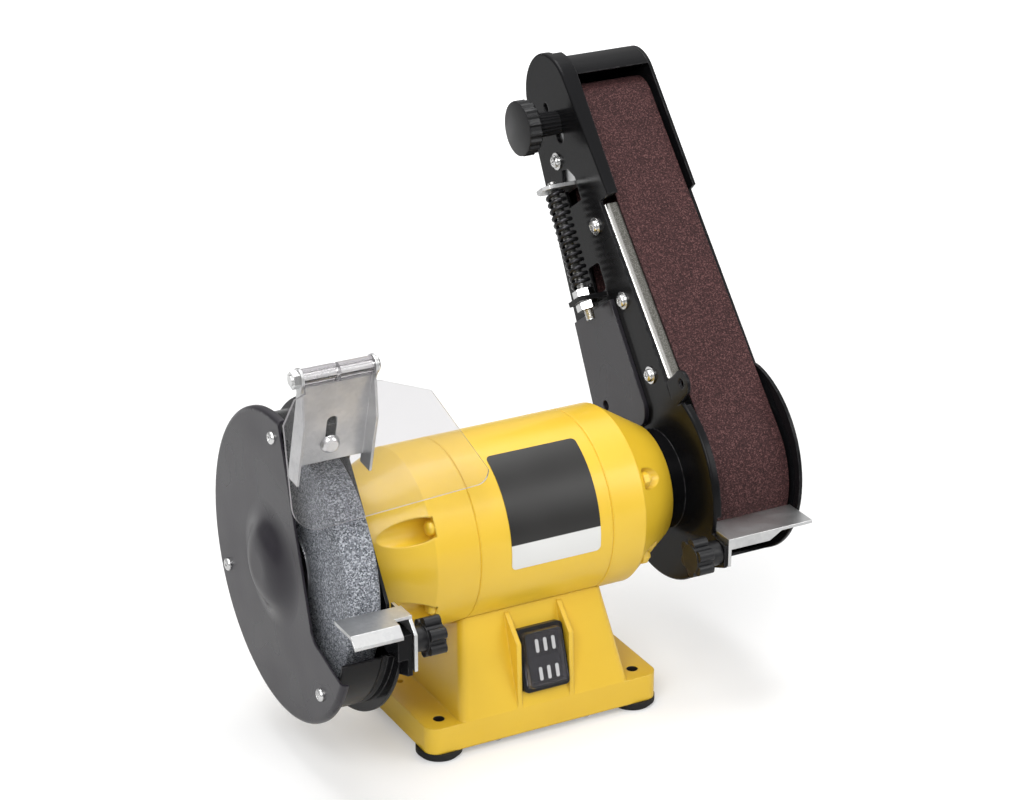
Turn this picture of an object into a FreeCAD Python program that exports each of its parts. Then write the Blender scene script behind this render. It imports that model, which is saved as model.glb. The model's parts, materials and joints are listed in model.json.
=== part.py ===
import FreeCAD, Part
import math
import os
import re

import Sketcher

V = FreeCAD.Vector

# Bench grinder with a belt sander on the other end of its motor, in millimetres.
# X runs along the motor shaft towards the belt, -Y is the front, +Z is up, and the origin is the
# centre of the bench bolts on the bench.

SIZES = [
    # base
    ("base_length", 156, "flange along the shaft"),
    ("base_depth", 108, "flange front to back"),
    ("base_corner", 8, "flange corner radius"),
    ("flange_height", 17, "flange thickness"),
    ("foot_height", 5.5, "rubber foot"),
    ("foot_radius", 14, "rubber foot"),
    ("bolt_span_x", 132, "bench bolts along the shaft"),
    ("bolt_span_y", 84, "bench bolts front to back"),
    ("bolt_bore", 3.5, "bench bolt hole radius"),
    ("drain_bore", 2, "small hole in the left flange"),
    ("pedestal_length", 114, "pedestal along the shaft at the flange"),
    ("pedestal_lean", 18, "slope of the front and back, degrees"),
    ("pedestal_flare", 9.2, "slope of the two sides, degrees"),
    ("pedestal_corner", 5, "pedestal corner radius"),
    ("casting_wall", 4, "saddle deck and upper wall"),
    ("base_opening", 92, "hollow of the casting at its underside"),
    ("plate_margin", 4, "closing plate beyond the hollow"),
    ("plate_thickness", 1.5, "closing plate"),
    ("plate_screw_x", 30, "closing plate screws"),
    ("plate_screw_inset", 2, "closing plate screws inside the plate's edge"),
    ("small_screw", 1.5, "shank radius of small screws"),
    ("screw_gap", 0.1, "screw shank to its bore"),
    ("fit_gap", 0.05, "pieces that are pressed or laid together"),
    ("run_gap", 0.03, "shaft in its bearings"),
    ("saddle_screw", 2.5, "shank radius"),
    ("saddle_screw_x", 30, "saddle screws along the shaft"),
    ("capacitor_radius", 16, "run capacitor"),
    ("capacitor_length", 60, "run capacitor"),
    ("capacitor_back", 12, "run capacitor behind the shaft line"),
    ("gland_rise", 20, "cord inlet above the flange"),
    ("gland_radius", 8, "cord inlet barrel"),
    ("gland_bore", 4, "cord inlet bore"),
    ("gland_length", 22, "cord inlet barrel"),
    # switch
    ("switch_x", 0, "switch along the shaft"),
    ("switch_rise", 27, "switch centre above the flange"),
    ("switch_width", 30.5, "bezel"),
    ("switch_height", 39, "bezel along the slope"),
    ("switch_lip", 2.2, "bezel beyond its body"),
    ("switch_proud", 5, "bezel in front of the casting"),
    ("switch_depth", 18, "switch body behind the casting's face"),
    ("switch_wall", 2, "switch body wall"),
    ("rocker_gap", 0.5, "rocker to the bezel"),
    ("rocker_rock", 7, "rocker each way, degrees"),
    ("rocker_pin", 1.5, "rocker pivot radius"),
    ("rocker_crown", 2, "rocker ends above its middle"),
    ("boot_wall", 1.2, "dust boot"),
    ("boot_rise", 4.5, "dust boot in front of the bezel"),
    ("boot_rib", 0.7, "raised marks on the dust boot"),
    ("cheek_width", 3, "cheeks beside the switch"),
    ("cheek_gap", 0.8, "cheeks to the bezel"),
    ("cheek_rise", 10.8, "cheeks above the bezel"),
    # motor
    ("shaft_height", 124, "shaft above the bench"),
    ("motor_radius", 55.5, "housing"),
    ("housing_wall", 9.5, "housing"),
    ("shell_length", 88, "middle of the housing"),
    ("seam", 0.6, "chamfer at the housing seams"),
    ("left_barrel", 28, "straight part of the left bell"),
    ("left_taper", 40, "tapered part of the left bell"),
    ("left_nose", 39, "radius at the end of the left bell"),
    ("right_barrel", 22, "straight part of the right bell"),
    ("right_taper", 30, "tapered part of the right bell"),
    ("right_nose", 36.5, "radius at the end of the right bell"),
    ("bell_wall", 4, "end wall of a bell outside its bearing"),
    ("neck_radius", 24, "neck that the belt arm turns on"),
    ("housing_bolt", 2.5, "through bolt shank radius"),
    ("bolt_head", 4.5, "through bolt head radius"),
    ("bolt_circle", 50.5, "through bolts from the shaft"),
    ("bolt_angle", 30, "through bolts above and below the shaft, degrees"),
    ("pocket_radius", 7.5, "bolt pockets in the bells"),
    ("bearing_radius", 17.5, "bearing"),
    ("bearing_width", 11, "bearing"),
    ("journal_radius", 7.5, "shaft in the bearings"),
    ("shaft_radius", 8, "shaft in the rotor"),
    ("spindle_radius", 6.35, "shaft ends"),
    ("core_length", 56, "stator and rotor"),
    ("air_gap", 0.4, "rotor to stator"),
    ("rotor_radius", 29.6, "rotor"),
    ("winding_length", 12, "winding heads"),
    ("winding_gap", 1, "winding heads to the housing and the rotor"),
    # grinding side
    ("wheel_radius", 75, "grinding wheel"),
    ("wheel_width", 20, "grinding wheel"),
    ("wheel_chamfer", 1, "grinding wheel edge"),
    ("wheel_flange", 24, "wheel flange radius"),
    ("flange_width", 4.5, "wheel flange"),
    ("nut_half", 9.5, "spindle nut, half across its flats"),
    ("nut_width", 8.5, "spindle nut"),
    ("spindle_proud", 3, "spindle past its nut"),
    ("guard_sheet", 1.5, "guard steel"),
    ("guard_disc", 2, "guard back plate"),
    ("guard_rim", 94, "guard cover and back plate radius"),
    ("drum_radius", 88, "guard drum"),
    ("drum_groove", 1.2, "groove round the drum"),
    ("cover_gap", 10.5, "wheel to the outside of the guard cover"),
    ("cover_cut_top", -6.3, "front edge of the cover at its top"),
    ("cover_kink_y", -46.4, "lower bend of the cover's front edge"),
    ("cover_kink_z", -27.7, "lower bend of the cover's front edge"),
    ("cover_kink_radius", 12, "lower bend of the cover's front edge"),
    ("dome_base", 38, "radius of the dome's foot"),
    ("dome_top", 8, "radius of the dome's flat"),
    ("dome_height", 9.5, "dome"),
    ("dome_back", 8.3, "dome behind the shaft"),
    ("dome_drop", 2.2, "dome below the shaft"),
    ("lip_radius", 3, "rolled edge of the guard cover"),
    ("disc_bore", 27, "hole in the guard back plate"),
    ("guard_screw_circle", 32.5, "guard screws"),
    ("guard_screw", 2, "shank radius of the guard screws"),
    ("guard_head", 4, "head radius of the guard screws"),
    ("washer_radius", 5.5, "washers"),
    ("washer_width", 1, "washers"),
    ("cover_screw_circle", 80.5, "cover screws"),
    ("lug_radius", 5, "lugs in the drum"),
    ("lug_length", 6, "lugs in the drum"),
    ("drum_open_top", 24.2, "front opening of the drum, degrees ahead of the top"),
    ("disc_open_top", 20, "front opening of the back plate, degrees ahead of the top"),
    ("drum_open_low", 18, "front opening, degrees under the shaft line"),
    # eye shield
    ("bracket_x", -132, "middle of the bracket"),
    ("bracket_width", 46, "bracket over its flanges"),
    ("bracket_sheet", 1.5, "bracket steel"),
    ("bracket_lean", 16, "bracket, degrees forward"),
    ("bracket_y", -40, "bracket bolt"),
    ("bracket_z", 91.5, "bracket bolt above the shaft"),
    ("bracket_up", 43, "bracket above its bolt"),
    ("bracket_down", 12.5, "bracket below its bolt"),
    ("bracket_side", 19.5, "bracket flanges below the bolt"),
    ("bracket_flange", 12, "bracket flanges"),
    ("bracket_slot", 22, "bracket slot"),
    ("bracket_bolt", 3, "bolt shank radius"),
    ("slide_gap", 0.2, "sliding pieces"),
    ("hinge_rise", 49, "shield hinge above the bracket bolt"),
    ("hinge_bolt", 3, "hinge bolt radius"),
    ("hinge_ear", 6, "ear round the hinge bolt"),
    ("barrel_radius", 5.2, "shield barrel"),
    ("shield_lean", 9.7, "shield, degrees back"),
    ("shield_sheet", 2, "shield"),
    ("shield_drop", 85, "shield below its hinge"),
    ("shield_left", 36, "shield to the left of the bracket"),
    ("shield_right", 89, "shield to the right of the bracket"),
    ("shield_corner", 16, "lower left corner of the shield"),
    # wheel rest
    ("rest_sheet", 2, "rest steel"),
    ("rest_gap", 3, "rest to the wheel"),
    ("rest_depth", 21, "flat of the rest"),
    ("rest_overhang", 10.5, "rest past the wheel's outer face"),
    ("rest_lip", 7, "sloping front of the rest"),
    ("rest_lip_drop", 5, "fall of the sloping front"),
    ("rest_flange_drop", 32, "side of the rest"),
    ("rest_travel", 12, "rest away from the wheel"),
    ("rest_back", 1.5, "rest towards the wheel"),
    ("stud_radius", 3, "knob studs"),
    ("stud_y", -88, "wheel rest stud"),
    ("stud_drop", 18, "wheel rest stud below the shaft"),
    ("arm_sheet", 3, "rest arm"),
    ("arm_height", 26, "rest arm"),
    ("knob_radius", 8.7, "lobed knob"),
    ("knob_lobe", 3.6, "lobe radius"),
    ("knob_width", 11, "lobed knob"),
    ("knob_hub", 7.4, "lobed knob hub radius"),
    ("knob_hub_length", 8, "lobed knob hub"),
    # belt arm
    ("arm_tilt", 35.3, "arm, degrees back"),
    ("arm_gap", 12, "right bell to the arm's plate"),
    ("frame_sheet", 2, "arm steel"),
    ("belt_width", 50, "sanding belt"),
    ("belt_thickness", 1, "sanding belt"),
    ("belt_gap", 0.3, "belt to its wheels"),
    ("belt_side", 10, "belt to the arm's plate"),
    ("belt_cover_gap", 2.2, "belt to the side cover"),
    ("drive_radius", 48.5, "drive wheel"),
    ("idler_radius", 16, "idler"),
    ("centre_distance", 236.8, "drive wheel to idler"),
    ("frame_radius", 64, "lower end of the arm"),
    ("disc_open", 33, "front of the lower end, degrees above the arm's line"),
    ("nose_radius", 28.5, "upper end of the arm"),
    ("nose_back", 3.5, "upper end behind the arm's line"),
    ("nose_rise", 250, "upper end above the shaft"),
    ("mouth_rise", 256, "top of the front opening"),
    ("front_rim", 11, "front rims of the arm"),
    ("rim_low", 7, "front rims at their foot"),
    ("rim_depth", 5, "rim elsewhere"),
    ("rim_turn", 12, "end of the deep rim, ahead of the arm's line"),
    ("edge_round", 1.5, "pressed edge of the plate"),
    ("rim_foot", 173, "foot of the upper rim"),
    ("rim_proud", 13, "upper rim in front of the lower plate edge"),
    ("plate_front", 25.5, "lower plate edge at the foot of the rim, ahead of the arm's line"),
    ("plate_front_low", 39.5, "lower plate edge at its low end, ahead of the arm's line"),
    ("plate_low", 72, "low end of the lower plate edge"),
    ("notch_front", 43.5, "notch over the lower end, ahead of the arm's line"),
    ("collar_wall", 7, "collar on the neck"),
    ("clamp_screw", 3, "clamp screw radius"),
    ("clamp_turn", 50, "clamp screw above the arm's back, degrees"),
    ("ear_y", -59.7, "ear on the arm's front"),
    ("ear_z", 45.5, "ear on the arm's front"),
    ("ear_radius", 8, "ear on the arm's front"),
    ("stiffener_rise", 3, "raised rear plate"),
    ("stiffener_front", -12, "raised rear plate"),
    ("stiffener_low", 34, "raised rear plate"),
    ("stiffener_high", 114, "raised rear plate"),
    ("stiffener_inset", 4, "raised rear plate to the arm's back edge"),
    ("platen_sheet", 2.5, "platen"),
    ("platen_low", 47, "platen along the belt's run"),
    ("platen_high", 165, "platen along the belt's run"),
    ("platen_flange", 18, "platen side"),
    ("platen_roll", 3, "rounded edge of the platen"),
    ("platen_screw_in", 14, "platen screws behind its face"),
    ("cover_step", 52, "step in the side cover's front edge"),
    ("cover_front", 62, "round front of the side cover"),
    ("hood_low", 57, "hood round the drive wheel"),
    ("hood_nose", 24.5, "hood round the idler"),
    ("hood_front", 10, "lower end of the hood, behind the arm's line"),
    ("boss_radius", 3, "bosses under the side cover's screws"),
    ("boss_length", 14, "bosses"),
    ("boss_inset", 3, "bosses from the outside of the hood"),
    ("boss_top", 222, "upper boss"),
    ("boss_mid", 60, "middle boss"),
    ("vent_y", 35.8, "hole in the raised rear plate"),
    ("vent_z", 56.6, "hole in the raised rear plate"),
    ("vent_bore", 3.5, "hole in the raised rear plate"),
    ("guide_y", 13, "screw that guides the idler carrier"),
    ("guide_z", 211.4, "screw that guides the idler carrier"),
    ("idler_axle", 5, "idler axle radius"),
    ("bush_wall", 3, "idler bushes"),
    ("bush_length", 12, "idler bushes"),
    ("carrier_sheet", 2.5, "idler carrier"),
    ("carrier_half", 12, "idler carrier half width"),
    ("tension_travel", 9, "idler towards the drive wheel"),
    ("tension_y", 5.5, "tension spring behind the arm's line"),
    ("tension_out", 12, "tension spring from the arm's plate"),
    ("tension_foot", 126, "lower end of the spring"),
    ("spring_length", 65, "tension spring"),
    ("spring_radius", 5.2, "tension spring to the middle of its wire"),
    ("spring_wire", 1.3, "wire radius"),
    ("spring_turns", 14, "coils"),
    ("rod_radius", 3, "tension rod"),
    ("tab_half", 8, "tabs round the tension rod"),
    ("tracking_radius", 17.5, "tracking knob"),
    ("tracking_width", 10.5, "tracking knob"),
    ("tracking_stem", 9, "tracking knob stem radius"),
    ("tracking_out", 29, "face of the tracking knob from the arm's plate"),
    ("tracking_drop", 4, "tracking screw below the idler"),
    ("tracking_screw", 4, "tracking screw radius"),
    ("belt_rest_drop", 9, "top of the belt rest below the shaft"),
    ("belt_rest_gap", 3, "belt rest to the belt"),
    ("belt_rest_depth", 25, "belt rest"),
    ("belt_rest_lip", 7, "front lip of the belt rest"),
    ("belt_rest_side", 18, "side of the belt rest"),
    ("belt_rest_travel", 9, "belt rest away from the belt"),
    ("belt_stud_y", -69, "belt rest stud"),
    ("belt_stud_drop", 20.5, "belt rest stud below the shaft"),
]

doc = FreeCAD.newDocument("grinder_sander")
sheet = doc.addObject("Spreadsheet::Sheet", "sizes")
for row, (alias, amount, note) in enumerate(SIZES, 1):
    sheet.set("A%d" % row, note)
    sheet.set("B%d" % row, str(amount))
    sheet.setAlias("B%d" % row, alias)
doc.recompute()
ALIASES = {alias for alias, amount, note in SIZES}
NODES = {}


def bound(text):
    """A formula with its size names pointed at the sheet's cells."""
    def cell(word):
        return "sizes." + word.group() if word.group() in ALIASES else word.group()
    return re.sub(r"[A-Za-z_]\w*", cell, text)


def size(text):
    """A formula's value."""
    return float(sheet.evalExpression(bound(text)))


def bind(thing, name, text):
    """Ties one property of an object to a formula."""
    thing.setExpression(name, bound(text))


def placed(x, y, z, axis="1; 0; 0", turn="0"):
    """A placement formula: a point, and a turn in degrees about an axis."""
    return "placement(vector(%s; %s; %s); rotation(vector(%s); %s))" % (x, y, z, axis, turn)


def fix(outline, kind, spots, text):
    """A sketch dimension tied to a formula."""
    row = outline.addConstraint(Sketcher.Constraint(kind, *spots, size(text)))
    if re.search("[a-z]", text):
        bind(outline, "Constraints[%d]" % row, text)


def add_circle(outline, x, y, radius):
    """A circle with its centre and radius set."""
    ring = Part.Circle(V(size(x), size(y), 0), V(0, 0, 1), size(radius))
    ring = outline.addGeometry(ring, False)
    fix(outline, "DistanceX", (-1, 1, ring, 3), x)
    fix(outline, "DistanceY", (-1, 1, ring, 3), y)
    fix(outline, "Radius", (ring,), radius)


def arc_between(first, last, radius):
    """The short arc that turns left from one point to another."""
    half = (last - first) * 0.5
    left = V(-half.y, half.x, 0).normalize()
    centre = first + half + left * math.sqrt(max(radius ** 2 - half.Length ** 2, 0))
    start = math.atan2(first.y - centre.y, first.x - centre.x)
    stop = math.atan2(last.y - centre.y, last.x - centre.x)
    return Part.ArcOfCircle(Part.Circle(centre, V(0, 0, 1), radius), start, stop + 2 * math.pi * (stop < start))


def add_corners(outline, corners):
    """A closed outline; a corner is (x, y), or (x, y, radius) where an arc runs to the next corner.
    An arc turns left, or right where its radius starts with a minus sign."""
    spots = [V(size(corner[0]), size(corner[1]), 0) for corner in corners]
    runs = []
    for here, there, corner in zip(spots, spots[1:] + spots[:1], corners):
        if len(corner) == 2:
            runs.append((outline.addGeometry(Part.LineSegment(here, there), False), 1, 2))
        elif corner[2].startswith("-"):
            arc = outline.addGeometry(arc_between(there, here, size(corner[2][1:])), False)
            runs.append((arc, 2, 1))
        else:
            runs.append((outline.addGeometry(arc_between(here, there, size(corner[2])), False), 1, 2))
    for (run, head, tail), (before, before_head, before_tail) in zip(runs, runs[-1:] + runs[:-1]):
        outline.addConstraint(Sketcher.Constraint("Coincident", before, before_tail, run, head))
    for (run, head, tail), corner in zip(runs, corners):
        fix(outline, "DistanceX", (-1, 1, run, head), corner[0])
        fix(outline, "DistanceY", (-1, 1, run, head), corner[1])
        if len(corner) == 3:
            fix(outline, "Radius", (run,), corner[2].lstrip("-"))


def sketch(body, plane, loops, offset):
    """A sketch on one of a body's planes; a loop is a circle (x, y, radius) or a list of corners."""
    outline = body.newObject("Sketcher::SketchObject", body.Name + "_outline")
    flat = [item for item in body.Origin.OriginFeatures if item.Role == plane + "_Plane"][0]
    outline.AttachmentSupport = (flat, [""])
    outline.MapMode = "FlatFace"
    bind(outline, "AttachmentOffset.Base.z", offset)
    for loop in loops:
        if isinstance(loop, tuple):
            add_circle(outline, *loop)
        else:
            add_corners(outline, loop)
    return outline


def new_body(name, place=None):
    """An empty body, with its place tied to a formula."""
    body = doc.addObject("PartDesign::Body", name + "_body")
    if place:
        bind(body, "Placement", place)
    return body


def prism(body, plane, loops, start, end, cut=False):
    """A pad, or a pocket, of an outline from one place to another along the plane's axis."""
    grows_up = plane != "XZ"
    spot = start if grows_up != cut else end
    outline = sketch(body, plane, loops, spot if grows_up else "-(%s)" % spot)
    feature = body.newObject("PartDesign::Pocket" if cut else "PartDesign::Pad", body.Name + "_prism")
    feature.Profile = outline
    bind(feature, "Length", "(%s) - (%s)" % (end, start))
    return feature


def turned(body, corners, axis="H_Axis", cut=False):
    """A revolution, or a groove, of (along, radius) corners about X, or (radius, along) about Z."""
    outline = sketch(body, "XZ", [corners], "0")
    feature = body.newObject("PartDesign::Groove" if cut else "PartDesign::Revolution", body.Name + "_turn")
    feature.Profile = outline
    feature.ReferenceAxis = (outline, [axis])
    feature.Angle = 360
    return feature


def lofted(body, plane, sections):
    """A loft through (loop, offset) sections."""
    outlines = [sketch(body, plane, [loop], offset) for loop, offset in sections]
    feature = body.newObject("PartDesign::AdditiveLoft", body.Name + "_loft")
    feature.Profile = outlines[0]
    feature.Sections = outlines[1:]
    feature.Ruled = True
    return feature


def polar(body, feature, axis, count):
    """Copies of a feature round one of the body's axes."""
    pattern = body.newObject("PartDesign::PolarPattern", body.Name + "_polar")
    pattern.Originals = [feature]
    line = [item for item in body.Origin.OriginFeatures if item.Role == axis + "_Axis"][0]
    pattern.Axis = (line, [""])
    pattern.Angle = 360
    pattern.Occurrences = count
    body.Tip = pattern
    return pattern


def round_edges(body, x, radius):
    """Rounds the edges of a body's flat face at x, from the middle of the arm backwards."""
    doc.recompute()
    base = body.Tip
    names = ["Edge%d" % row for row, edge in enumerate(base.Shape.Edges, 1)
             if edge.BoundBox.XMax < size(x) + 0.1 and edge.BoundBox.YMax > -1]
    feature = body.newObject("PartDesign::Fillet", body.Name + "_round")
    feature.Base = (base, names)
    bind(feature, "Radius", radius)


def rounded(half_x, half_y, radius, x="0", y="0"):
    """Corners of a rounded rectangle."""
    corners = []
    for side_x, side_y in ((1, -1), (1, 1), (-1, 1), (-1, -1)):
        ends = [
            ("%s + %d * (%s - %s)" % (x, side_x, half_x, radius), "%s + %d * (%s)" % (y, side_y, half_y)),
            ("%s + %d * (%s)" % (x, side_x, half_x), "%s + %d * (%s - %s)" % (y, side_y, half_y, radius)),
        ]
        if side_x != -side_y:
            ends.reverse()
        corners += [ends[0] + (radius,), ends[1]]
    return corners


def rectangle(low_x, low_y, high_x, high_y):
    """Corners of a rectangle."""
    return [(low_x, low_y), (high_x, low_y), (high_x, high_y), (low_x, high_y)]


def slot(x, y, run_x, run_y, radius):
    """Corners of a round-ended slot that runs from a point to a second point, along X or along Y."""
    radius = "(%s)" % radius
    far = ("%s + %s" % (x, run_x), "%s + %s" % (y, run_y))
    if run_y == "0":
        return [(x, y + " - " + radius), (far[0], y + " - " + radius, radius),
                (far[0] + " + " + radius, y, radius), (far[0], y + " + " + radius),
                (x, y + " + " + radius, radius), (x + " - " + radius, y, radius)]
    return [(x + " + " + radius, y), (x + " + " + radius, far[1], radius),
            (x, far[1] + " + " + radius, radius), (x + " - " + radius, far[1]),
            (x + " - " + radius, y, radius), (x, y + " - " + radius, radius)]


def cylinder(name, radius, length, place):
    """A plain cylinder that starts at a place and grows along its own Z."""
    made = doc.addObject("Part::Cylinder", name)
    bind(made, "Radius", radius)
    bind(made, "Height", length)
    bind(made, "Placement", place)
    return made


def block(name, length, depth, height, place):
    """A plain box that starts at a place."""
    made = doc.addObject("Part::Box", name)
    bind(made, "Length", length)
    bind(made, "Width", depth)
    bind(made, "Height", height)
    bind(made, "Placement", place)
    return made


def less(name, base, *tools):
    """A shape with others cut out of it."""
    for tool in tools:
        made = doc.addObject("Part::Cut", name + "_cut")
        made.Base = base
        made.Tool = tool
        base = made
    return base


def joined(name, *shapes):
    """Shapes fused to one solid."""
    made = doc.addObject("Part::MultiFuse", name + "_joined")
    made.Shapes = list(shapes)
    made.Refine = True
    return made


def group(name, shapes):
    """Separate solids that share one node."""
    made = doc.addObject("Part::Compound", name + "_set")
    made.Links = list(shapes)
    return made


def keep(name, thing):
    """Names a finished sub-part."""
    thing.Label = name
    NODES[name] = thing
    return thing


def screw(name, shank, length, head, rise, place, washer=False):
    """A pan-head screw that seats at the place, on a washer if it has one; its shank runs along the place's +Z."""
    body = new_body(name, place)
    seat = "-washer_width" if washer else "0"
    top = "%s - (%s)" % (seat, rise)
    corners = [("0", top), ("%s * 0.62" % head, top, "%s * 0.75" % head), (head, seat)]
    if washer:
        corners += [("washer_radius", seat), ("washer_radius", "0")]
    corners += [(shank, "0"), (shank, length), ("0", length)]
    turned(body, corners, "V_Axis")
    return body


def hex_nut(body, half_flats, start, end, bore):
    """A hexagon nut along X."""
    reach = "(%s) / cos(30)" % half_flats
    corners = [("%s * cos(%d)" % (reach, turn), "%s * sin(%d)" % (reach, turn)) for turn in range(0, 360, 60)]
    prism(body, "YZ", [corners, ("0", "0", bore)], start, end)


# Base casting: flange, leaning pedestal with a saddle for the motor, cheeks beside the switch.
FLANGE_TOP = "(foot_height + flange_height)"
PEDESTAL_TOP = "(shaft_height - motor_radius * 0.45)"
PEDESTAL_RISE = "(%s - %s)" % (PEDESTAL_TOP, FLANGE_TOP)
TOP_HALF_X = "(pedestal_length / 2 - %s * tan(pedestal_flare))" % PEDESTAL_RISE
TOP_HALF_Y = "(base_depth / 2 - %s * tan(pedestal_lean))" % PEDESTAL_RISE
SHAFT = placed("0", "0", "shaft_height")
CORNERS = ((-1, -1), (1, -1), (1, 1), (-1, 1))
QUARTER = "0; 1; 0"


def face_place(rise, x, side):
    """A place on the sloping front (-1) or back (1) of the pedestal, its Y square to the face."""
    y = "%d * (base_depth / 2 - (%s) * tan(pedestal_lean))" % (side, rise)
    return placed(x, y, "%s + %s" % (FLANGE_TOP, rise), "%d; 0; 0" % side, "pedestal_lean")


def base_casting():
    body = new_body("base_block")
    flange = rounded("base_length / 2", "base_depth / 2", "base_corner")
    prism(body, "XY", [flange], "foot_height", FLANGE_TOP)
    lofted(body, "XY", [
        (rounded("pedestal_length / 2", "base_depth / 2", "pedestal_corner"), FLANGE_TOP),
        (rounded(TOP_HALF_X, TOP_HALF_Y, "pedestal_corner"), PEDESTAL_TOP),
    ])
    cheek_reach = "(switch_width / 2 + cheek_gap)"
    top = "(switch_rise + switch_height / 2 * cos(pedestal_lean) + cheek_rise)"
    front = "-(base_depth / 2)"
    slope = "tan(pedestal_lean)"
    cheek = [
        (front, FLANGE_TOP),
        ("%s + 6" % front, FLANGE_TOP),
        ("%s + %s * %s + 4" % (front, top, slope), "%s + %s" % (FLANGE_TOP, top)),
        ("%s + %s * %s - 1" % (front, top, slope), "%s + %s" % (FLANGE_TOP, top)),
        ("%s + 2" % front, "%s + %s * 0.74" % (FLANGE_TOP, top)),
    ]
    prism(body, "YZ", [cheek], "switch_x - %s - cheek_width" % cheek_reach, "switch_x - %s" % cheek_reach)
    prism(body, "YZ", [cheek], "switch_x + %s" % cheek_reach, "switch_x + %s + cheek_width" % cheek_reach)
    prism(body, "YZ", [("0", "shaft_height", "motor_radius + fit_gap")], "-base_length", "base_length", cut=True)
    holes = [("%d * bolt_span_x / 2" % x, "%d * bolt_span_y / 2" % y, "bolt_bore") for x, y in CORNERS]
    holes.append(("-bolt_span_x / 2", "10", "drain_bore"))
    prism(body, "XY", holes, "0", FLANGE_TOP + " + 1", cut=True)
    screws = [("%d * plate_screw_x" % x, "%d * (base_opening / 2 + plate_screw_inset)" % y,
               "small_screw + screw_gap") for x, y in CORNERS]
    prism(body, "XY", screws, "foot_height", "foot_height + 10", cut=True)
    hollow = new_body("base_hollow")
    lofted(hollow, "XY", [
        (rounded("base_opening / 2", "base_opening / 2", "pedestal_corner"), "foot_height"),
        (rounded(TOP_HALF_X + " - casting_wall", TOP_HALF_Y + " - casting_wall", "pedestal_corner / 2"),
         PEDESTAL_TOP),
    ])
    deck = cylinder("base_deck", "motor_radius + casting_wall", "base_length",
                    placed("-base_length / 2", "0", "shaft_height", QUARTER, "90"))
    window = block("switch_window", "switch_width - 2 * switch_lip + 2 * fit_gap", "switch_depth + 12",
                   "switch_height - 2 * switch_lip + 2 * fit_gap",
                   face_place("switch_rise", "switch_x", -1) + " * " + placed(
                       "-(switch_width / 2 - switch_lip + fit_gap)", "-6",
                       "-(switch_height / 2 - switch_lip + fit_gap)"))
    gland = cylinder("gland_hole", "gland_radius + fit_gap", "gland_length + 12",
                     face_place("gland_rise", "0", 1) + " * " + placed("0", "6", "0", "1; 0; 0", "90"))
    saddle = [cylinder("saddle_bore", "saddle_screw + screw_gap", "shaft_height - foot_height",
                       placed("%d * saddle_screw_x" % side, "0", "foot_height")) for side in (-1, 1)]
    keep("base_casting", less("base", body, less("base_inside", hollow, deck), window, gland, *saddle))


def base_fittings():
    plate = new_body("base_plate")
    reach = "base_opening / 2 + plate_margin"
    screws = [("%d * plate_screw_x" % x, "%d * (base_opening / 2 + plate_screw_inset)" % y,
               "small_screw + screw_gap") for x, y in CORNERS]
    prism(plate, "XY", [rounded(reach, reach, "2")] + screws, "foot_height - plate_thickness", "foot_height")
    keep("base_plate", plate)
    keep("base_screws", group("base_screws", [
        screw("base_screw", "small_screw", "8", "3", "2", placed(
            "%d * plate_screw_x" % x, "%d * (base_opening / 2 + plate_screw_inset)" % y,
            "foot_height - plate_thickness")) for x, y in CORNERS]))
    feet = []
    for x, y in CORNERS:
        foot = new_body("foot", placed("%d * bolt_span_x / 2" % x, "%d * bolt_span_y / 2" % y, "0"))
        turned(foot, [("bolt_bore", "0"), ("foot_radius - 2", "0"), ("foot_radius", "2"),
                      ("foot_radius", "foot_height"), ("bolt_bore", "foot_height")], "V_Axis")
        feet.append(foot)
    keep("rubber_feet", group("rubber_feet", feet))
    deck = "shaft_height - motor_radius - casting_wall"
    keep("saddle_screws", group("saddle_screws", [
        screw("saddle_screw", "saddle_screw", "casting_wall + housing_wall - 1", "5", "3",
              placed("%d * saddle_screw_x" % side, "0", deck)) for side in (-1, 1)]))
    can = new_body("capacitor", placed("-capacitor_length / 2", "capacitor_back",
                                       "foot_height + capacitor_radius + slide_gap"))
    turned(can, [("0", "0"), ("capacitor_length", "0"), ("capacitor_length", "capacitor_radius - 2"),
                 ("capacitor_length - 2", "capacitor_radius"), ("2", "capacitor_radius"),
                 ("0", "capacitor_radius - 2")])
    keep("capacitor", can)
    inlet = new_body("gland", face_place("gland_rise", "0", 1) + " * " + placed("0", "0", "0", "1; 0; 0", "-90"))
    turned(inlet, [("gland_bore", "-gland_length + 8"), ("gland_radius", "-gland_length + 8"),
                   ("gland_radius", "0"), ("gland_radius + 3", "0"), ("gland_radius + 3", "4"),
                   ("gland_radius - 1", "6"), ("gland_radius - 2", "14"), ("gland_bore", "14")], "V_Axis")
    keep("cable_gland", inlet)


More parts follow.
